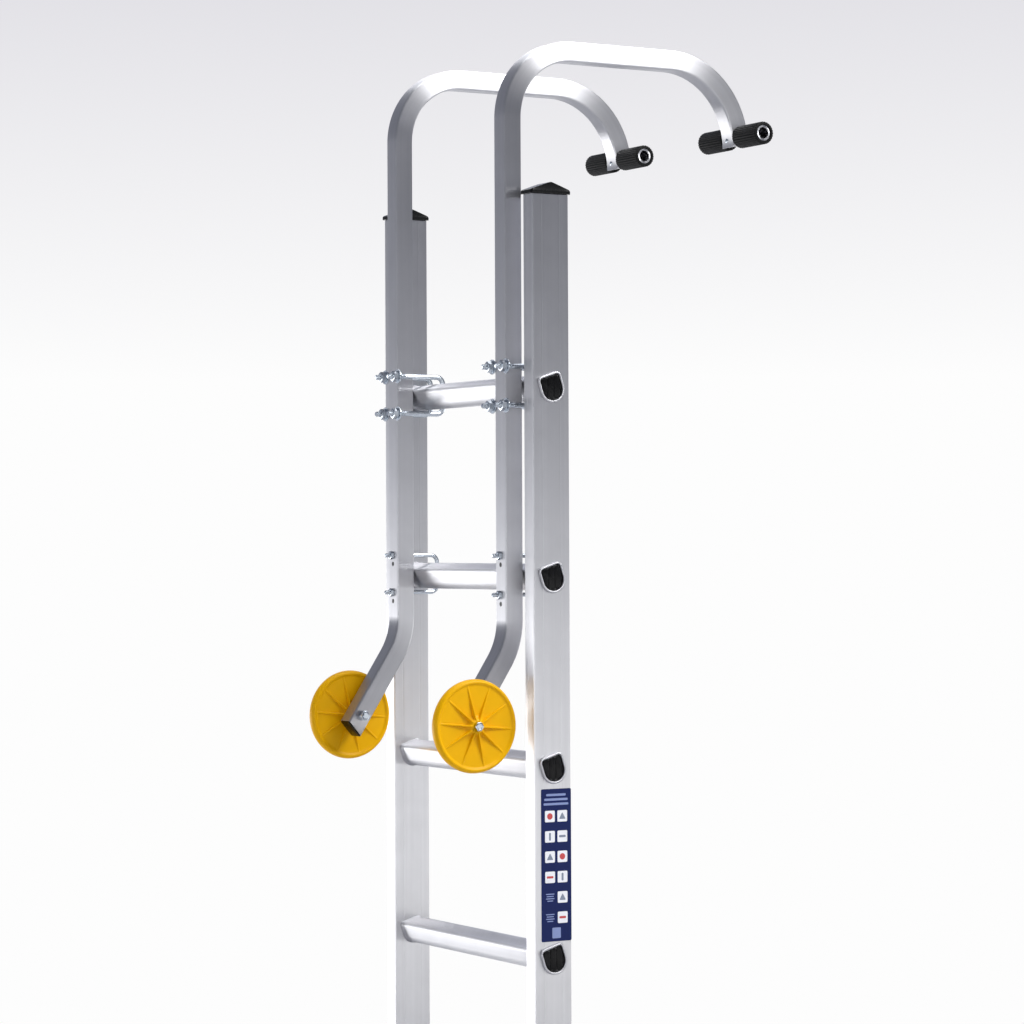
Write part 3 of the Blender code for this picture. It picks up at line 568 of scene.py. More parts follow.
def rung_outline(sizes, grow):
    """The D section spread by grow: a ribbed tread line, two corner arcs and a half round, then tilted.

    The ribs are grooves of depth * (1 - cos(2 pi x / pitch)) / 2 along the tread's middle.
    """
    half, top = sizes.tread / 2, sizes.rung_height / 2
    corner = sizes.rung_corner
    flat = half - corner
    x = np.linspace(flat, -flat, 71)[1:-1]
    ribbed = np.abs(x) < sizes.tread_pitch * 3
    groove = np.where(ribbed, (1 - np.cos(TURN * x / sizes.tread_pitch)) / 2, 0)
    depth = max(0.0, sizes.tread_depth - abs(grow))
    tread = np.stack([x, top + grow - depth * groove], -1)
    quarter = TURN / 4
    outline = np.concatenate(
        [
            arc((flat, top - corner), corner + grow, 0, quarter, 8),
            tread,
            arc((-flat, top - corner), corner + grow, quarter, 2 * quarter, 8),
            arc((0, half - top), half + grow, 2 * quarter, 4 * quarter, 40)[1:-1],
        ]
    )
    c, s = math.cos(sizes.tread_tilt), math.sin(sizes.tread_tilt)
    return outline @ np.array([[c, s], [-s, c]])


def rung_centre(sizes, node):
    """Centre of a rung's section.

    Its lowest point is the round's, tread / 2 + (height - tread) / 2 * cos(tilt) below it.
    """
    low = node_box(node)[0]
    stile = node_box(node.split("_")[0] + "_stile_right")[2]
    drop = sizes.tread / 2 + (sizes.rung_height - sizes.tread) / 2 * math.cos(sizes.tread_tilt)
    return np.array([0.0, stile[1], low[2] + drop])


def rung_end_profile(sizes, inner_face, outer_face):
    """How far the rung's skin spreads at each distance from the middle, from the clear span outwards.

    A bulge stands against the stile's inner face, and a rolled rim outside its outer face.
    """
    collar, rim, flare = sizes.collar, sizes.rim, sizes.rim_flare
    bulge = 1.3 * MM
    inside = [
        (inner_face - collar - 2.5 * MM, 0.0),
        (inner_face - collar - 1.2 * MM, 0.25 * MM),
        (inner_face - collar, 0.7 * bulge),
        (inner_face - collar + 1.2 * MM, bulge),
        (inner_face - 2.0 * MM, bulge),
        (inner_face - 0.6 * MM, 0.85 * bulge),
        (inner_face + 0.5 * MM, 0.5 * bulge),
    ]
    a = np.linspace(-math.pi / 2, math.pi * 1.25, 18)
    rolled = np.stack(
        [outer_face + rim / 2 + rim / 2 * np.sin(a), flare * (0.42 + 0.58 * np.cos(a))], -1
    )
    return np.concatenate([inside, rolled])


def make_rungs(context):
    """Rungs with their collars and rolled rims, and the ribbed plugs in their ends."""
    sizes = context.scene.ladder_section
    for section in SECTIONS:
        low, high, _ = node_box(f"{section}_stile_right")
        ends = rung_end_profile(sizes, low[0], high[0])
        along = np.concatenate([-ends[::-1, 0], ends[:, 0]])
        grow = np.concatenate([ends[::-1, 1], ends[:, 1]])
        outlines = np.stack([rung_outline(sizes, g) for g in grow])
        for number in range(1, RUNGS + 1):
            node = f"{section}_rung_{number}"
            centre = rung_centre(sizes, node)
            shape = surface(carried(straight(centre, X, along), Y, Z, outlines), caps=True)
            make_piece(f"{node}_tube", [shape], ["extruded_aluminium"], section, [node])
            plugs = [plug_surface(sizes, centre, sign, high[0]) for sign in SIDES.values()]
            make_piece(f"{node}_plugs", plugs, ["black_polyethylene"], section)


def plug_surface(sizes, centre, sign, face):
    """A rung plug: the D outline drawn in to its centre, domed, with upright flutes across its face.

    At share s of the outline, the face stands out by dome * (1 - s ** 2) + flute * cos(2 pi y / 9.5 mm).
    """
    outline = rung_outline(sizes, -0.5 * MM)
    share = np.concatenate([[1.0, 1.0, 0.97], np.linspace(0.93, 0.0, 14)])
    proud = face + sizes.rim * 0.55
    height = np.concatenate([[face - 3 * MM, proud - 0.8 * MM, proud - 0.2 * MM], np.full(14, proud)])
    ring = share[:, None, None] * outline
    flute = 1.3 * MM * np.cos(TURN * ring[..., 0] / (9.5 * MM)) * (share[:, None] < 0.9)
    dome = 0.7 * MM * (1 - share[:, None] ** 2)
    x = sign * (height[:, None] + dome + flute)
    return surface(np.concatenate([x[..., None], ring], -1) + centre)


def make_caps():
    """Ridge-shaped caps on the fly's stiles and lower ones on the base's."""
    finish = ["black_polyethylene"]
    for side in SIDES:
        node = f"fly_cap_{side}"
        low, high, middle = node_box(node)
        stile_top = node_box(f"fly_stile_{side}")[1][2]
        shape = cap_surface(high - low, middle, stile_top + GAP, high[2], 5.2 * MM)
        make_piece(f"{node}_moulding", [shape], finish, "fly", [node])
        low, high, middle = node_box(f"base_stile_{side}")
        span = high - low + 2 * 0.6 * MM
        shape = cap_surface(span, middle, high[2] + GAP, high[2] + 3.2 * MM, 2.4 * MM)
        make_piece(f"base_cap_{side}", [shape], finish, "base")


def cap_surface(span, middle, bottom, top, eave):
    """A cap: a rounded outline rising from its eaves to a ridge along X, and a plug below.

    Above the eaves the height at share s of the outline is eave + (top - eave) * (1 - |y| / half depth),
    eased at the ridge by adding 2 mm to |y| in quadrature.
    """
    outline = spaced(rounded_box(span[0], span[1], 3.2 * MM, 9), 160)
    half = span[1] / 2
    share = np.concatenate([[0.0, 0.82, 0.95, 0.99, 1.0, 1.0, 0.985], np.linspace(0.96, 0.0, 24)])
    ring = share[:, None, None] * outline
    rise = top - bottom
    soft = np.sqrt(ring[7:, :, 1] ** 2 + (2 * MM) ** 2)
    slope = eave + (rise - eave) * (1 - (soft - 2 * MM) / (half - 2 * MM))
    base = np.array([0.0, 0.0, 0.0, 0.15 * MM, 0.5 * MM, eave * 0.72, eave * 0.93])
    z = np.concatenate([np.broadcast_to(base[:, None], ring[:7, :, 0].shape), slope])
    points = np.concatenate([ring, z[..., None]], -1)
    return surface(points + [middle[0], middle[1], bottom])


def make_feet():
    """Rubber shoes: a ribbed sole block under a collar that grips the stile."""
    for side in SIDES:
        node = f"foot_{side}"
        low, high, middle = node_box(node)
        stile_low, stile_high, stile = node_box(f"base_stile_{side}")
        span = high - low
        outline = spaced(rounded_box(span[0], span[1], 4 * MM, 9), 200)
        pocket = spaced(rounded_box(*(stile_high - stile_low)[:2] + GAP, 2.6 * MM, 9), 200)
        pocket += (stile - middle)[:2]
        normal = outward(outline)
        rows = np.linspace(1.5 * MM, span[2] - 4 * MM, 60)
        rib = 0.8 * MM * (1 - np.cos(TURN * rows / (5.2 * MM))) / 2 * (rows < span[2] * 0.6)
        sides = outline - normal * rib[:, None, None]
        lip = [outline, outline - normal * 0.8 * MM, outline - normal * 2 * MM]
        lip_heights = [span[2] - 2.5 * MM, span[2] - 0.8 * MM, span[2]]
        outlines = np.concatenate([[outline - normal * 1.2 * MM], sides, lip, [pocket, pocket]])
        floor = stile_low[2] - low[2] - GAP
        heights = np.concatenate([[0.0], rows, lip_heights, [span[2] - GAP, floor]])
        path = upright(middle, heights + low[2])
        shape = surface(carried(path, X, Y, outlines), caps=True)
        make_piece(f"{node}_shoe", [shape], ["moulded_rubber"], "base", [node])


def rivet(centre, axis, radius, height):
    """A domed rivet head: radius * cos a across and height * sin a out, on a short straight rim."""
    a = np.linspace(0, math.pi / 2, 7)
    along = np.concatenate([[-0.4 * MM], 0.25 * height + 0.75 * height * np.sin(a)])
    radii = np.concatenate([[radius], radius * np.cos(a)])
    return surface(turned(centre, axis, along, radii, 24), finish=1)


def make_guides(context):
    """Bent strips round the other section's stile, with rivets on their own stile."""
    fixing = context.scene.ladder_fixings
    thick = 3.0 * MM
    bend = fixing.guide_bend + thick / 2
    for section, other in (SECTIONS, SECTIONS[::-1]):
        for side, sign in SIDES.items():
            node = f"{section}_guide_{side}"
            low, high, middle = node_box(node)
            own_low, own_high, own = node_box(f"{section}_stile_{side}")
            far = node_box(f"{other}_stile_{side}")[2]
            toward = 1 if far[1] > own[1] else -1
            face = reach_of(f"{section}_stile_{side}")[1]
            lip_x, outside = reach_of(node)
            depth = own_high[1] - own_low[1]
            near_x = face + GAP + thick / 2
            far_x = outside - thick / 2
            step = far_x - near_x
            joggle = own[1] + toward * (depth / 2 - step)
            lip_y = (high[1] if toward > 0 else low[1]) - toward * thick / 2
            plan = [
                (near_x, own[1] - toward * (depth / 2 - 1 * MM)),
                (near_x, joggle),
                (far_x, joggle + toward * step),
                (far_x, lip_y),
                (lip_x, lip_y),
            ]
            line = bent([(x * sign, y) for x, y in plan], [0, 2 * bend, 2 * bend, bend, 0])
            path = np.concatenate([line, np.full((len(line), 1), middle[2])], 1)
            tall = high[2] - low[2]
            outline = rounded_box(tall, thick, fixing.plate_edge, 4)
            across = np.cross(Z, tangents(path))
            shapes = [surface(carried(path, Z, across, outline), caps=True)]
            rivet_x = sign * (face + GAP + thick)
            for up in (-0.28, 0.28):
                for over in (-0.38, 0.02):
                    spot = (rivet_x, own[1] + toward * over * depth, middle[2] + up * tall)
                    shapes.append(rivet(spot, X * sign, 4.2 * MM, 1.8 * MM))
            make_piece(f"{node}_strip", shapes, PLATE_AND_PIN, section, [node])


def make_latches(context):
    """Rung latches cut from plate, each with its pin, and the brackets that carry the pins.

    A plate's outline is a round boss about the pin and a tail, which ends in a lip down behind the rung.
    """
    edge = context.scene.ladder_fixings.plate_edge
    joints = {joint["child"]: joint for joint in frame["joints"]}
    thick, neck = 6 * MM, 41.33 * MM
    drop, lip, roof = 13 * MM, 6 * MM, 4.5 * MM
    for side, sign in SIDES.items():
        body = f"latch_{side}"
        low, high, _ = node_box(body)
        pivot = np.array(joints[body]["pos_m"])
        boss = arc((0, 0), pivot[1] - low[1], math.radians(45), math.radians(235), 24)
        under = low[2] + drop - pivot[2]
        far = high[1] - pivot[1] - lip
        corners = [
            (neck, under),
            (far, under),
            (far, under - drop),
            (far + lip, under - drop),
            (far + lip, under + roof),
            (neck + 10 * MM, under + roof),
        ]
        radii = np.array([0, 1.5, 1, 2, 2, 4, 6, 0]) * MM
        tail = bent([boss[-1], *corners, boss[0]], radii)
        outline = spaced(np.concatenate([boss, tail[1:-1]]), 260)
        inset = np.array([1, 0.3, 0, 0, 0.3, 1]) * edge
        outlines = outline - inset[:, None, None] * outward(outline)
        along = np.array([0, 0.3, 1]) * edge - thick / 2
        path = straight(pivot, X, np.concatenate([along, -along[::-1]]))
        plate = surface(carried(path, Y, Z, outlines), caps=True)
        inner_face = reach_of(f"fly_stile_{side}")[0]
        reach = inner_face - abs(pivot[0]) - GAP
        head = -thick / 2 - np.array([2.2, 1.8]) * MM
        pin_along = sign * np.array([*head, reach - 0.4 * MM, reach])
        pin_radii = np.array([3.4, 4, 4, 3.6]) * MM
        pin = surface(turned(pivot, X, pin_along, pin_radii, 32), caps=True, finish=1)
        make_piece(f"{body}_plate", [plate, pin], PLATE_AND_PIN, body, [body])
        make_bracket(side, sign, pivot, inner_face, edge)


def make_bracket(side, sign, pivot, inner_face, edge):
    """A riveted plate on the stile's inner face with a raised boss round the latch's pin."""
    thick = 1.6 * MM
    centre = np.array([0, pivot[1], pivot[2]])
    outline = spaced(rounded_box(40 * MM, 62 * MM, 6 * MM, 9), 160) + [0.0, 6 * MM]
    x = sign * (inner_face - np.array([0.0, thick - edge, thick]))
    outlines = np.stack([outline, outline, outline - outward(outline) * edge])
    plate = surface(carried(straight(centre, X, x), Y, Z, outlines), caps=True)
    depths = sign * (inner_face - np.array([1.2, 3.4, 3.9, 3.9, 1.2]) * MM)
    radii = np.array([8.2, 7.2, 6.6, 4.4, 4.4]) * MM
    shapes = [plate, surface(turned(centre, X, depths, radii, 40), wrap_rows=True)]
    for y, z in ((-12, -16), (12, -16), (-12, 28), (12, 28)):
        spot = centre + [sign * (inner_face - thick), y * MM, z * MM]
        shapes.append(rivet(spot, -X * sign, 3.4 * MM, 1.4 * MM))
    make_piece(f"latch_bracket_{side}", shapes, PLATE_AND_PIN, "fly")


# ---- the roof hook kit -------------------------------------------------------------------------------


def hook_line(hook, origin):
    """The hook tube's centre line: up the ladder, over and down to the cross bar."""
    knee = hook.leg_out / math.tan(hook.leg_angle) - hook.leg_drop
    low = np.array(
        [
            -hook.leg_out - hook.leg_tail * math.sin(hook.leg_angle),
            -hook.leg_drop - hook.leg_tail * math.cos(hook.leg_angle),
        ]
    )
    end = hook.rise - hook.second_bend - 0.3 * MM
    corners = [low, (0, knee), (0, hook.rise), (hook.reach, hook.rise), (hook.reach, end)]
    line = bent(corners, [0, hook.leg_bend, hook.first_bend, hook.second_bend, 0], math.radians(2.5))
    return np.concatenate([np.zeros((len(line), 1)), line], 1) + origin


def hook_tube_surface(hook, origin, bar):
    """A hollow square tube along the hook's line, with its upper end shaped over the cross bar.

    Each line of the tube runs on until it would be nearer to the bar's centre than the bar's radius, or
    passes below that centre, except on the inner wall, which runs on as a tab.
    """
    path = hook_line(hook, origin)
    run = run_of(path)
    way = tangents(path)
    total, shaped = run[-1], 45 * MM
    count = 14
    outer = rounded_box(hook.tube, hook.tube, hook.corner, count)
    inner = rounded_box(hook.tube - 2 * hook.wall, hook.tube - 2 * hook.wall, 1 * MM, count)
    keep = run < total - shaped
    base_rows = np.concatenate([run[keep], np.linspace(total - shaped, total, 24)])

    def at(distance, outline):
        spot = np.stack([np.interp(distance, run, path[:, k]) for k in range(3)], -1)
        along = np.stack([np.interp(distance, run, way[:, k]) for k in range(3)], -1)
        across = np.cross(X, along)
        return spot + outline[:, :1] * X + outline[:, 1:] * across

    tries = np.linspace(total - shaped, total, 300)[:, None] + np.zeros(len(outer))
    found = at(tries, outer)
    distance = np.hypot(found[..., 1] - bar[1], found[..., 2] - bar[2])
    stop = (distance < 11.4 * MM) | (found[..., 2] < bar[2])
    stop &= outer[:, 1] > -hook.tube / 2 + hook.wall * 0.9
    first = np.where(stop.any(0), stop.argmax(0), len(tries) - 1)
    ends = tries[first, 0]
    share = np.clip((base_rows - (total - shaped)) / shaped, 0, 1)[:, None]
    rows = base_rows[:, None] + share * (ends - total)
    skin, bore = (at(cut_back(hook, rows, line[:, 1]), line) for line in (outer, inner))
    return surface(np.concatenate([skin, bore[::-1]]), wrap_rows=True)


def cut_back(hook, rows, y):
    """Rows whose first one is slanted: it starts cut * (y + tube / 2) / tube further up the leg."""
    first = rows[:1] + hook.leg_cut * (y + hook.tube / 2) / hook.tube
    return np.concatenate([first, rows[1:]])


def hook_origin(hook, side):
    """Where the tube's centre line passes the top rung: behind the clamp nuts' faces."""
    _, high, middle = node_box(f"hook_tube_{side}")
    nut_face = node_box(f"lower_nut_high_{side}")[1][1]
    y = nut_face + 0.3 * MM + hook.tube / 2
    return np.array([middle[0], y, high[2] - hook.tube / 2 - hook.rise])


def make_hook_tubes(context):
    """The two bent tubes, with the screw in each one's tab, black discs painted as the shade in the spare
    holes in its front, and a black plug painted as the shade in each leg's open lower end.
    """
    hook = context.scene.ladder_hook
    for side in SIDES:
        node = f"hook_tube_{side}"
        origin = hook_origin(hook, side)
        bar = node_box(f"cross_bar_{side}")[2]
        tube = hook_tube_surface(hook, origin, bar)
        inside = origin[1] + hook.reach - hook.tube / 2
        screw = pan_head(np.array([origin[0], inside, bar[2] - 4.5 * MM]), -Y, 3.6 * MM, 1.9 * MM)
        face = origin[1] - hook.tube / 2
        # The leg's black plug is painted shade, standing in for the dark inside of the tube's open end.
        shapes = [tube, screw, leg_shade_plug(hook, origin)]
        # Each spare hole is a black disc just proud of the face: painted shade in place of the hole's dark
        # inside.
        for level in ("high", "low"):
            middle = node_box(f"lower_nut_{level}_{side}")[2]
            spot = (origin[0], face, middle[2] - 12 * MM)
            painted_hole_shade = turned(spot, -Y, [-0.5 * MM, 0.04 * MM], [3.2 * MM, 3.2 * MM], 32)
            shapes.append(surface(painted_hole_shade, caps=True, finish=2))
        # black_polyethylene here carries the painted shade of the spare holes and of the leg's open end.
        finishes = ["extruded_aluminium", "bright_zinc", "black_polyethylene"]
        make_piece(f"{node}_bent", shapes, finishes, "fly", [node])


def leg_shade_plug(hook, origin):
    """A black plug that paints the shade inside the leg's open lower end: a block in the bore under a face
    that domes out by 2 mm.
    """
    path = hook_line(hook, origin)[:2]
    way = tangents(path)[0]
    along = np.array([12, 0.2, 0.0, -0.9, -1.6, -2.0]) * MM
    bore = hook.tube - 2 * hook.wall - 0.1 * MM
    inset = np.array([0.0, 0.0, 0.4, 0.4, 1.0, 2.4]) * MM
    inside = spaced(rounded_box(bore, bore, 1 * MM, 6), 96)
    face = spaced(rounded_box(hook.tube, hook.tube, hook.corner, 6), 96)
    outlines = np.stack([inside, inside, *(face - outward(face) * d for d in inset[2:])])
    points = carried(path[0] + np.outer(along, way), X, np.cross(X, way), outlines)
    points += hook.leg_cut * (outlines[..., 1:] + hook.tube / 2) / hook.tube * way
    return surface(points, caps=True, finish=2)


def pan_head(centre, axis, radius, height):
    """A pan screw head: a rounded edge of radius * (cos a) ** 0.5 and a shallow round drive recess."""
    a = np.linspace(0, math.pi / 2, 8)[:-1]
    along = np.concatenate([[-0.5 * MM], height * np.sin(a), [height, height * 0.35, height * 0.35]])
    radii = np.concatenate([[radius], radius * np.cos(a) ** 0.5, [radius * 0.42, radius * 0.34, 0.0]])
    return surface(turned(centre, axis, along, radii, 32), finish=1)


def make_cross_bars(context):
    """Cross bars with broken edges, and their ribbed rubber sleeves."""
    hook = context.scene.ladder_hook
    for side in SIDES:
        node = f"cross_bar_{side}"
        low, high, middle = node_box(node)
        outer, bore = (high[2] - low[2]) / 2, 7.8 * MM
        half = (high[0] - low[0]) / 2
        edge = 0.4 * MM
        along = [half - edge, half, half, half - edge, edge - half, -half, -half, edge - half]
        radii = [bore, bore + edge, outer - edge, outer, outer, outer - edge, bore + edge, bore]
        bar = surface(turned(middle, X, along, radii, 64), wrap_rows=True)
        make_piece(f"{node}_tube", [bar], ["extruded_aluminium"], "fly", [node])
        for where in ("outer", "inner"):
            node = f"sleeve_{where}_{side}"
            low, high, middle = node_box(node)
            radius, half = (high[2] - low[2]) / 2, (high[0] - low[0]) / 2
            shape = sleeve_surface(hook, middle, radius, half, outer + 0.3 * MM)
            make_piece(f"{node}_ribbed", [shape], ["moulded_rubber"], "fly", [node])


def sleeve_surface(hook, middle, radius, half, bore):
    """A rubber tube with 26 rounded ribs between rounded ends.

    Its radius is radius - depth * (1 - |cos(13 a)|) ** 1.6.
    """
    count = 26 * 12
    a = np.arange(count) * TURN / count
    groove = hook.sleeve_rib * (1 - np.abs(np.cos(13 * a))) ** 1.6
    end = np.linspace(0, math.pi / 2, 6)
    round_in = 1.6 * MM * (1 - np.sin(end))
    round_along = half - 1.6 * MM * (1 - np.cos(end))
    along = np.concatenate([[half], round_along, [0], -round_along[::-1], [-half]])
    inset = np.concatenate([[radius - bore], round_in, [0], round_in[::-1], [radius - bore]])
    share = np.concatenate([[0.0], np.sin(end), [1.0], np.sin(end)[::-1], [0.0]])
    radii = radius - inset[:, None] - groove * share[:, None]
    return surface(turned(middle, X, along, radii, count), wrap_rows=True)


def wheel_half(hook, radius, hub, count):
    """Height of a wheel's face above its middle plane over a grid of radii and angles.

    The web rises to the hub as exp(-(d / 4.5 mm) ** 2). The rim rounds over as height * sqrt(1 - t ** 2).
    Ten ribs slope from the hub down to the rim, each a smooth step of the distance from its line.
    """
    a = np.arange(count) * TURN / count
    rim_start = radius - 4.5 * MM
    web, rim = 4.8 * MM, 7.0 * MM
    t = np.sin(np.linspace(0, math.pi / 2, 9))[1:]
    inner = np.array([4.3, 6.0, 6.4]) * MM
    web_radii = np.linspace(6.8 * MM, radius - 8.5 * MM, 30)
    rise_radii = np.linspace(radius - 8.5 * MM, rim_start, 6)[1:]
    radii = np.concatenate([inner, web_radii, rise_radii, rim_start + (radius - rim_start) * t])
    cone = web + (hub - 0.5 * MM - web) * np.exp(-(((web_radii - 6.8 * MM) / (4.5 * MM)) ** 2))
    lift = np.linspace(0, 1, 6)[1:] ** 2
    plain = np.concatenate([cone, web + (rim - web) * lift * (3 - 2 * np.sqrt(lift))])
    heights = np.concatenate([hub + np.array([-0.9, -0.9, -0.6]) * MM, plain, rim * np.sqrt(1 - t**2)])
    phase = (a + math.radians(5)) % (TURN / 10)
    off = np.minimum(phase, TURN / 10 - phase)
    gap = radii[:, None] * np.sin(off)
    rib = np.clip(1.6 - gap / (hook.wheel_rib / 2), 0, 1)
    rib = rib * rib * (3 - 2 * rib)
    reach = np.clip((radii - 6.8 * MM) / (radius - 15.3 * MM), 0, 1)
    zone = (radii > 6.5 * MM) & (radii < rim_start)
    top = np.maximum(hub - 0.5 * MM + (web + 1.0 * MM - hub) * reach, heights)
    raised = heights[:, None] + (top - heights)[:, None] * rib
    return radii, np.where(zone[:, None], raised, heights[:, None])


def make_wheels(context):
    """Moulded wheels with ten radial ribs on each face and a ring round the bolt."""
    hook = context.scene.ladder_hook
    count = 540
    a = np.arange(count) * TURN / count
    for side, sign in SIDES.items():
        node = f"wheel_{side}"
        low, high, middle = node_box(node)
        radius, hub = (high[2] - low[2]) / 2, (high[0] - low[0]) / 2
        radii, heights = wheel_half(hook, radius, hub, count)
        ring = np.stack([radii[:, None] * np.cos(a), radii[:, None] * np.sin(a)], -1)
        front = np.concatenate([sign * heights[..., None], ring], -1)
        back = np.concatenate([-sign * heights[..., None], ring], -1)[::-1][1:]
        points = np.concatenate([front, back]) + middle
        shape = surface(points, wrap_rows=True)
        make_piece(f"{node}_moulding", [shape], ["yellow_polypropylene"], node, [node])


def hexagon(flats, count):
    """Distance from the centre to a hexagon's side at each angle: (flats / 2) / cos(a mod 60 - 30)."""
    a = np.arange(count) * TURN / count
    return flats / 2 / np.cos((a % (TURN / 6)) - TURN / 12)


def hexagonal(centre, axis, rows, **closing):
    """A surface about an axis from rows of a radius and a distance along it, even or by angle."""
    radii, along = (
        np.stack([np.broadcast_to(values, HEXAGON_POINTS) for values in part]) for part in zip(*rows)
    )
    flat = turned(centre, axis, np.zeros(len(rows)), radii, HEXAGON_POINTS)
    return surface(flat + along[..., None] * axis, **closing)


def nut_surface(centre, axis, flats, height, bore):
    """A chamfered hexagon nut: its corners fall by tan 30 degrees of their excess over a circle."""
    corner = hexagon(flats, HEXAGON_POINTS)
    circle = flats / 2 * 0.96
    fall = np.maximum(corner - circle, 0) * math.tan(math.radians(30))
    cut = 0.7 * MM
    rows = [
        (bore + cut, 0),
        (circle, 0),
        (corner, fall),
        (corner, height - fall),
        (circle, height),
        (bore + cut, height),
        (bore, height - cut),
        (bore, cut),
    ]
    return hexagonal(centre, axis, rows, wrap_rows=True)


def bolt_head(centre, axis, flats, height):
    """A hexagon head, closed at its middle, with a shallow dish in its face inside 0.7 of the flats."""
    corner = hexagon(flats, HEXAGON_POINTS)
    circle = flats / 2 * 0.94
    fall = np.maximum(corner - circle, 0) * math.tan(math.radians(30))
    dish = height - 0.4 * MM
    rows = [
        (0, 0),
        (corner, 0),
        (corner, height - fall),
        (circle, height),
        (circle * 0.72, height),
        (circle * 0.62, dish),
        (0, dish),
    ]
    return hexagonal(centre, axis, rows)


def washer_surface(centre, axis, radius, thick, bore):
    """A flat washer with slightly rounded edges."""
    edge = 0.3 * MM
    along = np.array([0, 0, edge, thick - edge, thick, thick])
    radii = np.array([bore, radius - edge, radius, radius, radius - edge, bore])
    return surface(turned(centre, axis, along, radii, 48), wrap_rows=True)


def make_axles():
    """Wheel bolts with hexagon heads, and the nuts on their inner ends."""
    head = 4 * MM
    for side, sign in SIDES.items():
        axis = X * sign
        node = f"wheel_axle_{side}"
        low, high, middle = node_box(node)
        top, tip = (high[0], low[0]) if sign > 0 else (low[0], high[0])
        under = top - sign * head
        bolt = bolt_head(np.array([under, middle[1], middle[2]]), axis, 11 * MM, head)
        along = sign * np.array([under, tip + sign * 0.8 * MM, tip])
        shank = turned([0, middle[1], middle[2]], axis, along, [4 * MM, 4 * MM, 3.4 * MM], 40)
        shapes = [bolt, surface(shank, caps=True)]
        make_piece(f"{node}_bolt", shapes, ["bright_zinc"], "fly", [node])
        node = f"axle_nut_{side}"
        low, high, middle = node_box(node)
        face = low[0] if sign < 0 else high[0]
        centre = np.array([face, middle[1], middle[2]])
        shape = nut_surface(centre, -axis, high[2] - low[2], high[0] - low[0], 4.1 * MM)
        make_piece(f"{node}_hexagon", [shape], ["bright_zinc"], "fly", [node])


def ubolt_surface(node, thread, threaded):
    """A bent rod with helical threads: radius - depth * (1 + cos(2 pi s / pitch - a)) / 2 on its legs."""
    low, high, middle = node_box(node)
    radius = (high[0] - low[0]) / 2
    top, bottom = high[2] - radius, low[2] + radius
    back = high[1] - radius
    corners = [(low[1], top), (back, top), (back, bottom), (low[1], bottom)]
    line = bent(corners, [0, 10 * MM, 10 * MM, 0])
    path = np.concatenate([np.full((len(line), 1), middle[0]), line], 1)
    total = run_of(path)[-1]
    fine = np.arange(0, threaded, thread / 8)
    rows = np.concatenate([fine, np.linspace(threaded, total - threaded, 70), total - fine[::-1]])
    run = run_of(path)
    spot = np.stack([np.interp(rows, run, path[:, k]) for k in range(3)], -1)
    across = np.cross(X, tangents(spot))
    count = 20
    a = np.arange(count) * TURN / count
    from_end = np.minimum(rows, total - rows)
    fade = np.clip((threaded - from_end) / (2 * MM), 0, 1)
    wave = (1 + np.cos(TURN * from_end[:, None] / thread - a)) / 2
    chamfer = np.clip(1 - from_end / (1.2 * MM), 0, 1) * 0.9 * MM
    depth = thread * 0.45
    r = radius - depth * wave * fade[:, None] - chamfer[:, None] * (1 - 0.5 * wave)
    outline = np.stack([r * np.cos(a), r * np.sin(a)], -1)
    return surface(carried(spot, X, across, outline), caps=True)


def make_ubolt(node, thread, threaded):
    """One U-bolt's rod."""
    shape = ubolt_surface(node, thread, threaded)
    make_piece(f"{node}_rod", [shape], ["bright_zinc"], "fly", [node], sharp=60)


def make_clamps(context):
    """U-bolts and their nuts: two pairs with washers at the top rung, and one bolt at the next."""
    fixing = context.scene.ladder_fixings
    washer_thick = 1.6 * MM
    for side in SIDES:
        for where in ("outer", "inner"):
            make_ubolt(f"upper_ubolt_{where}_{side}", fixing.upper_thread, fixing.threaded)
            for level in ("high", "low"):
                node = f"upper_nut_{where}_{level}_{side}"
                low, high, middle = node_box(node)
                face = np.array([middle[0], high[1], middle[2]])
                washer = washer_surface(face, -Y, (high[2] - low[2]) / 2, washer_thick, 3.9 * MM)
                height = high[1] - low[1] - washer_thick
                nut = nut_surface(face - Y * washer_thick, -Y, 13 * MM, height, 3.7 * MM)
                make_piece(f"{node}_set", [washer, nut], ["bright_zinc"], "fly", [node])
        make_ubolt(f"lower_ubolt_{side}", fixing.lower_thread, fixing.threaded)
        for level in ("high", "low"):
            node = f"lower_nut_{level}_{side}"
            low, high, middle = node_box(node)
            face = np.array([middle[0], high[1], middle[2]])
            nut = nut_surface(face, -Y, high[2] - low[2], high[1] - low[1], 3.0 * MM)
            make_piece(f"{node}_hexagon", [nut], ["bright_zinc"], "fly", [node])


# ---- the label ---------------------------------------------------------------------------------------


def film(outline, centre, lift, finish):
    """A flat patch on the stile's outer face: an outline in Y and Z, 0.04 mm thick, at a height."""
    path = straight([centre[0], centre[1], centre[2]], X, [lift * MM, (lift + 0.04) * MM])
    return surface(carried(path, Y, Z, outline), caps=True, finish=finish)


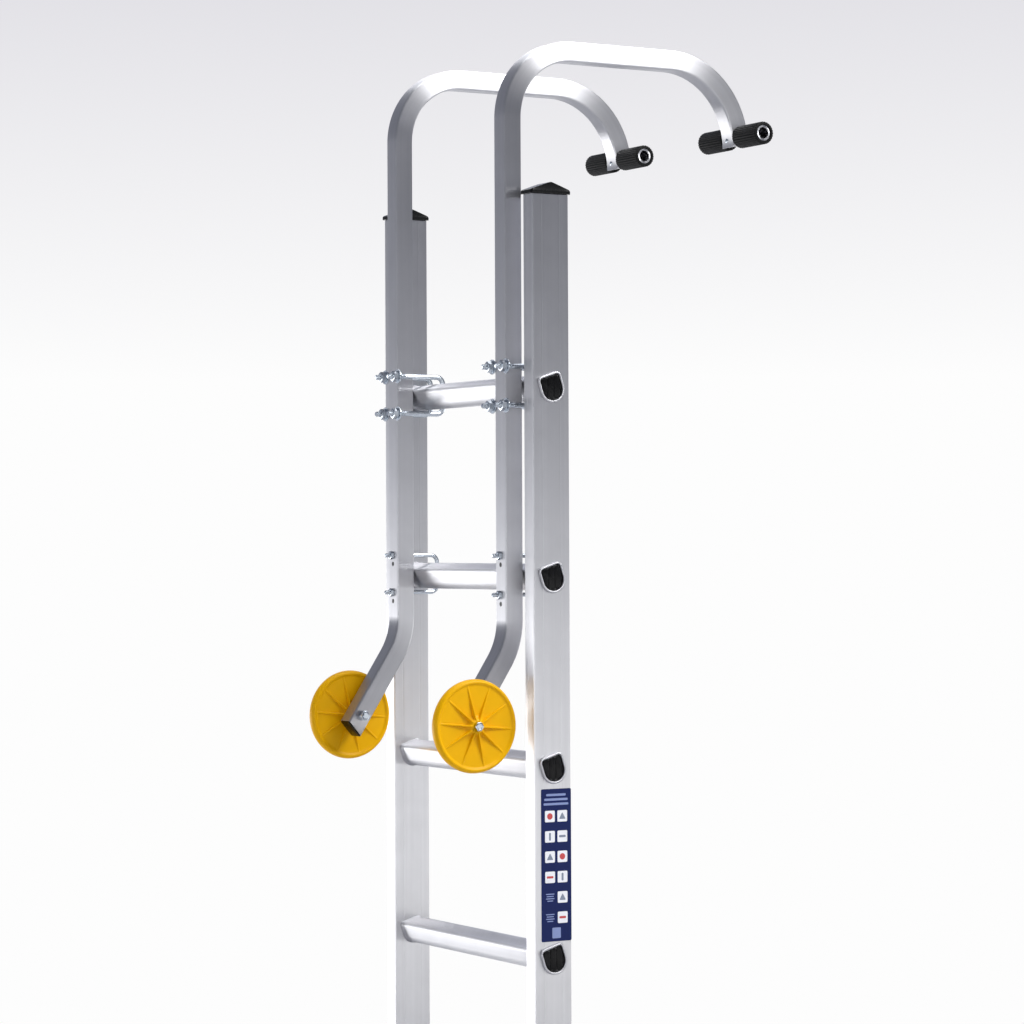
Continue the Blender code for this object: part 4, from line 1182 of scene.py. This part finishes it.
def make_label(context):
    """A blue film with two columns of white tiles, each with a plain round, bar or triangle mark."""
    fixing = context.scene.ladder_fixings
    _, high, _ = node_box("fly_stile_right")
    third = rung_centre(context.scene.ladder_section, "fly_rung_5")
    width, height = fixing.label_width, fixing.label_height
    centre = np.array([high[0], high[1] - width / 2 - 0.5 * MM, third[2] - 26 * MM - height / 2])
    shapes = [film(rounded_box(width, height, 2 * MM, 6), centre, 0.0, 0)]
    tile = 15 * MM
    marks = [
        arc((0, 0), 4.2 * MM, 0, TURN, 29)[:-1],
        rounded_box(3 * MM, 10 * MM, 1 * MM, 4),
        bent([(-5 * MM, -4 * MM), (5 * MM, -4 * MM), (0, 5 * MM)], 0.8 * MM, closed=True),
        rounded_box(10 * MM, 3 * MM, 1 * MM, 4),
    ]
    for number, z in enumerate(np.linspace(64 * MM, -69 * MM, 6)):
        for column, y in enumerate((-9.5 * MM, 9.5 * MM)):
            spot = centre + [0, y, z]
            if number > 3 and column == 0:
                for up, wide in ((4.5, 13), (1.5, 11), (-1.5, 13), (-4.5, 9)):
                    line = rounded_box(wide * MM, 1.3 * MM, 0.5 * MM, 3)
                    shapes.append(film(line, spot + [0, 0, up * MM], 0.03, 4))
                continue
            shapes.append(film(rounded_box(tile, tile, 1.5 * MM, 5), spot, 0.03, 1))
            finish = 3 if (number + column) % 3 == 0 else 2
            shapes.append(film(marks[(number + 2 * column) % 4], spot, 0.06, finish))
    for up, wide, tall in ((92, 30, 3.0), (86, 36, 3.0), (80, 38, 3.0), (-89, 13, 14.0)):
        bar = rounded_box(wide * MM, tall * MM, 1.2 * MM, 4)
        shapes.append(film(bar, centre + [0, 0, up * MM], 0.03, 4))
    finishes = ["label_film", "label_white", "label_grey", "label_red", "label_pale_blue"]
    make_piece("label", shapes, finishes, "fly")


# ---- the studio --------------------------------------------------------------------------------------


def make_floor(colours):
    """A pale disc, its height 0 all over, that the ladder's feet stand on."""
    a = np.arange(96) * TURN / 96
    radii = np.linspace(0, 12, 12)[:, None]
    points = np.stack([radii * np.cos(a), radii * np.sin(a), np.zeros((12, 96))], -1)
    mesh = bpy.data.meshes.new("floor")
    quads, _ = grid_faces(surface(points))
    mesh.from_pydata(points.reshape(-1, 3).tolist(), [], quads.tolist())
    close_up(mesh)
    if mesh.polygons[0].normal.z < 0:
        mesh.flip_normals()
    tree, shader = new_material("studio_paper", {"Roughness": 0.8})
    shader.inputs["Base Color"].default_value = (*colours.floor, 1)
    place = add(tree, "ShaderNodeTexCoord").outputs["Object"]
    grain = add(tree, "ShaderNodeTexNoise", {"Vector": place, "Scale": 1 / (6 * MM)})
    bump = add(tree, "ShaderNodeBump", {"Height": grain.outputs["Fac"], "Strength": 0.05})
    tree.links.new(bump.outputs["Normal"], shader.inputs["Normal"])
    mesh.materials.append(bpy.data.materials["studio_paper"])
    floor = bpy.data.objects.new("floor", mesh)
    bpy.context.scene.collection.objects.link(floor)


def room_light(tree, way, height):
    """What the metal mirrors, for a direction and its height.

    It is across * (low * 4.7 + 0.8) + backdrop. across falls from the ladder's back left to its front
    right, low goes smoothly from 0 above eye level to 1 below it, and the backdrop is lit.
    """
    smooth = {"interpolation_type": "SMOOTHSTEP"}
    right, ahead = (
        add(tree, "ShaderNodeVectorMath", {0: way, 1: axis}, operation="DOT_PRODUCT").outputs["Value"]
        for axis in ((0.506, 0.863, 0.0), (-0.863, 0.506, 0.0))
    )
    across = ranged(tree, right, -1.0, 1.0, 0.40, 0.255)
    low = ranged(tree, height, -0.06, 0.06, 1.0, 0.0, **smooth)
    backdrop = ranged(tree, ahead, 0.55, 0.95, 0.0, 0.7, **smooth)
    rise = add(tree, "ShaderNodeMath", {0: low, 1: 4.7, 2: 0.80}, operation="MULTIPLY_ADD")
    inputs = {0: across, 1: rise.outputs["Value"], 2: backdrop}
    level = add(tree, "ShaderNodeMath", inputs, operation="MULTIPLY_ADD").outputs["Value"]
    tint = blended(tree, low, (*srgb("#E2E6F7"), 1), (1, 1, 1, 1))
    inputs = {0: tint, "Scale": level}
    return add(tree, "ShaderNodeVectorMath", inputs, operation="SCALE").outputs["Vector"]


def make_world(scene, colours):
    """Pale studio surroundings: a backdrop for the lens and a graded room for everything else."""
    world = bpy.data.worlds.new("studio")
    scene.world = world
    world.use_nodes = True
    tree = world.node_tree
    tree.nodes.clear()
    way = add(tree, "ShaderNodeTexCoord").outputs["Generated"]
    height = add(tree, "ShaderNodeSeparateXYZ", {"Vector": way}).outputs["Z"]
    level = ranged(tree, height, 0.05, 0.17, 0.0, 1.0)
    paper = blended(tree, level, (*colours.backdrop_low, 1), (*colours.backdrop_high, 1))
    lens = add(tree, "ShaderNodeLightPath").outputs["Is Camera Ray"]
    seen = blended(tree, lens, room_light(tree, way, height), paper)
    light = add(tree, "ShaderNodeBackground", {"Color": seen, "Strength": 1.0})
    add(tree, "ShaderNodeOutputWorld", {"Surface": light.outputs["Background"]})


def make_light(name, place, target, size, power):
    """A rectangular soft light that faces a point."""
    data = bpy.data.lights.new(name, "AREA")
    data.shape = "RECTANGLE"
    data.size, data.size_y = size
    data.energy = power
    lamp = bpy.data.objects.new(name, data)
    bpy.context.scene.collection.objects.link(lamp)
    lamp.location = place
    lamp.rotation_euler = (Vector(target) - Vector(place)).to_track_quat("-Z", "Y").to_euler()


def make_camera(scene, aim):
    """A long lens at the ladder's right front, level with the fly's second rung."""
    data = bpy.data.cameras.new("camera")
    data.lens = 113.3
    data.sensor_width = 36
    data.clip_end = 100
    camera = bpy.data.objects.new("camera", data)
    scene.collection.objects.link(camera)
    yaw, pitch, roll = (math.radians(x) for x in (59.63, 0.52, -0.264))
    ahead = Vector((-math.sin(yaw) * math.cos(pitch), math.cos(yaw) * math.cos(pitch), math.sin(pitch)))
    right = Vector((math.cos(yaw), math.sin(yaw), 0))
    up = right.cross(ahead)
    turned_right = right * math.cos(roll) + up * math.sin(roll)
    turned_up = up * math.cos(roll) - right * math.sin(roll)
    axes = Matrix((turned_right, turned_up, -ahead)).transposed()
    place = Vector(aim) + Vector((3.829, -2.184, -0.201))
    camera.matrix_world = Matrix.Translation(place) @ axes.to_4x4()
    scene.camera = camera


def make_studio(context):
    """The floor, surroundings, lights and camera."""
    scene = context.scene
    scene.view_settings.view_transform = "Standard"
    aim = rung_centre(scene.ladder_section, f"fly_rung_{RUNGS}")
    make_camera(scene, aim)
    make_floor(scene.ladder_colours)
    make_world(scene, scene.ladder_colours)
    make_light("top_light", (0.0, 0.6, 6.2), (0, 0, 2.8), (3.4, 3.4), 80)
    make_light("key_light", (3.0, 2.0, 6.0), (0, 0, 3.2), (2.6, 2.0), 230)
    make_light("low_light", (-3.2, -2.7, 1.7), (0, 0, 1.9), (3.0, 1.5), 50)


# ---- add-on ------------------------------------------------------------------------------------------


class LADDER_OT_finishes(bpy.types.Operator):
    """Make the ladder's materials"""

    bl_idname = "ladder.finishes"
    bl_label = "Finishes"
    bl_options = {"REGISTER", "UNDO"}

    def execute(self, context):
        make_materials(context.scene.ladder_colours)
        return {"FINISHED"}


class LADDER_OT_studio(bpy.types.Operator):
    """Set the floor, surroundings, lights and camera"""

    bl_idname = "ladder.studio"
    bl_label = "Studio"
    bl_options = {"REGISTER", "UNDO"}

    def execute(self, context):
        make_studio(context)
        return {"FINISHED"}


class LADDER_OT_stiles(bpy.types.Operator):
    """Make the four box-section stiles"""

    bl_idname = "ladder.stiles"
    bl_label = "Stiles"
    bl_options = {"REGISTER", "UNDO"}

    def execute(self, context):
        make_stiles(context)
        return {"FINISHED"}


class LADDER_OT_rungs(bpy.types.Operator):
    """Make the rungs with their rims, and their plugs"""

    bl_idname = "ladder.rungs"
    bl_label = "Rungs"
    bl_options = {"REGISTER", "UNDO"}

    def execute(self, context):
        make_rungs(context)
        return {"FINISHED"}


class LADDER_OT_caps(bpy.types.Operator):
    """Make the end caps of the stiles"""

    bl_idname = "ladder.caps"
    bl_label = "Caps"
    bl_options = {"REGISTER", "UNDO"}

    def execute(self, context):
        make_caps()
        return {"FINISHED"}


class LADDER_OT_feet(bpy.types.Operator):
    """Make the rubber feet"""

    bl_idname = "ladder.feet"
    bl_label = "Feet"
    bl_options = {"REGISTER", "UNDO"}

    def execute(self, context):
        make_feet()
        return {"FINISHED"}


class LADDER_OT_guides(bpy.types.Operator):
    """Make the strips that hold the sections together"""

    bl_idname = "ladder.guides"
    bl_label = "Guides"
    bl_options = {"REGISTER", "UNDO"}

    def execute(self, context):
        make_guides(context)
        return {"FINISHED"}


class LADDER_OT_latches(bpy.types.Operator):
    """Make the rung latches and their brackets"""

    bl_idname = "ladder.latches"
    bl_label = "Latches"
    bl_options = {"REGISTER", "UNDO"}

    def execute(self, context):
        make_latches(context)
        return {"FINISHED"}


class LADDER_OT_hook_tubes(bpy.types.Operator):
    """Make the bent tubes of the roof hooks"""

    bl_idname = "ladder.hook_tubes"
    bl_label = "Hook tubes"
    bl_options = {"REGISTER", "UNDO"}

    def execute(self, context):
        make_hook_tubes(context)
        return {"FINISHED"}


class LADDER_OT_cross_bars(bpy.types.Operator):
    """Make the cross bars and their rubber sleeves"""

    bl_idname = "ladder.cross_bars"
    bl_label = "Cross bars"
    bl_options = {"REGISTER", "UNDO"}

    def execute(self, context):
        make_cross_bars(context)
        return {"FINISHED"}


class LADDER_OT_wheels(bpy.types.Operator):
    """Make the roof wheels"""

    bl_idname = "ladder.wheels"
    bl_label = "Wheels"
    bl_options = {"REGISTER", "UNDO"}

    def execute(self, context):
        make_wheels(context)
        return {"FINISHED"}


class LADDER_OT_axles(bpy.types.Operator):
    """Make the wheels' bolts and nuts"""

    bl_idname = "ladder.axles"
    bl_label = "Axles"
    bl_options = {"REGISTER", "UNDO"}

    def execute(self, context):
        make_axles()
        return {"FINISHED"}


class LADDER_OT_clamps(bpy.types.Operator):
    """Make the U-bolts and their nuts"""

    bl_idname = "ladder.clamps"
    bl_label = "Clamps"
    bl_options = {"REGISTER", "UNDO"}

    def execute(self, context):
        make_clamps(context)
        return {"FINISHED"}


class LADDER_OT_label(bpy.types.Operator):
    """Make the pictogram label"""

    bl_idname = "ladder.label"
    bl_label = "Label"
    bl_options = {"REGISTER", "UNDO"}

    def execute(self, context):
        make_label(context)
        return {"FINISHED"}


OPERATORS = [
    LADDER_OT_finishes,
    LADDER_OT_studio,
    LADDER_OT_stiles,
    LADDER_OT_rungs,
    LADDER_OT_caps,
    LADDER_OT_feet,
    LADDER_OT_guides,
    LADDER_OT_latches,
    LADDER_OT_hook_tubes,
    LADDER_OT_cross_bars,
    LADDER_OT_wheels,
    LADDER_OT_axles,
    LADDER_OT_clamps,
    LADDER_OT_label,
]


class LADDER_PT_pieces(bpy.types.Panel):
    """Lists the ladder's sizes and pieces."""

    bl_idname = "LADDER_PT_pieces"
    bl_label = "Extension Ladder"
    bl_space_type = "VIEW_3D"
    bl_region_type = "UI"
    bl_category = "Ladder"

    def draw(self, context):
        for key, group in GROUPS.items():
            box = self.layout.box()
            box.label(text=group.__name__)
            for name in group.__annotations__:
                box.prop(getattr(context.scene, key), name)
        for operator in OPERATORS:
            self.layout.operator(operator.bl_idname)


CLASSES = [*GROUPS.values(), *OPERATORS, LADDER_PT_pieces]


def register():
    for cls in CLASSES:
        bpy.utils.register_class(cls)
    for key, group in GROUPS.items():
        setattr(bpy.types.Scene, key, bpy.props.PointerProperty(type=group))


def unregister():
    for key in GROUPS:
        delattr(bpy.types.Scene, key)
    for cls in reversed(CLASSES):
        bpy.utils.unregister_class(cls)


def main():
    register()
    for operator in OPERATORS:
        getattr(bpy.ops.ladder, operator.bl_idname.split(".")[1])()
    bpy.context.view_layer.update()


if __name__ == "__main__":
    main()
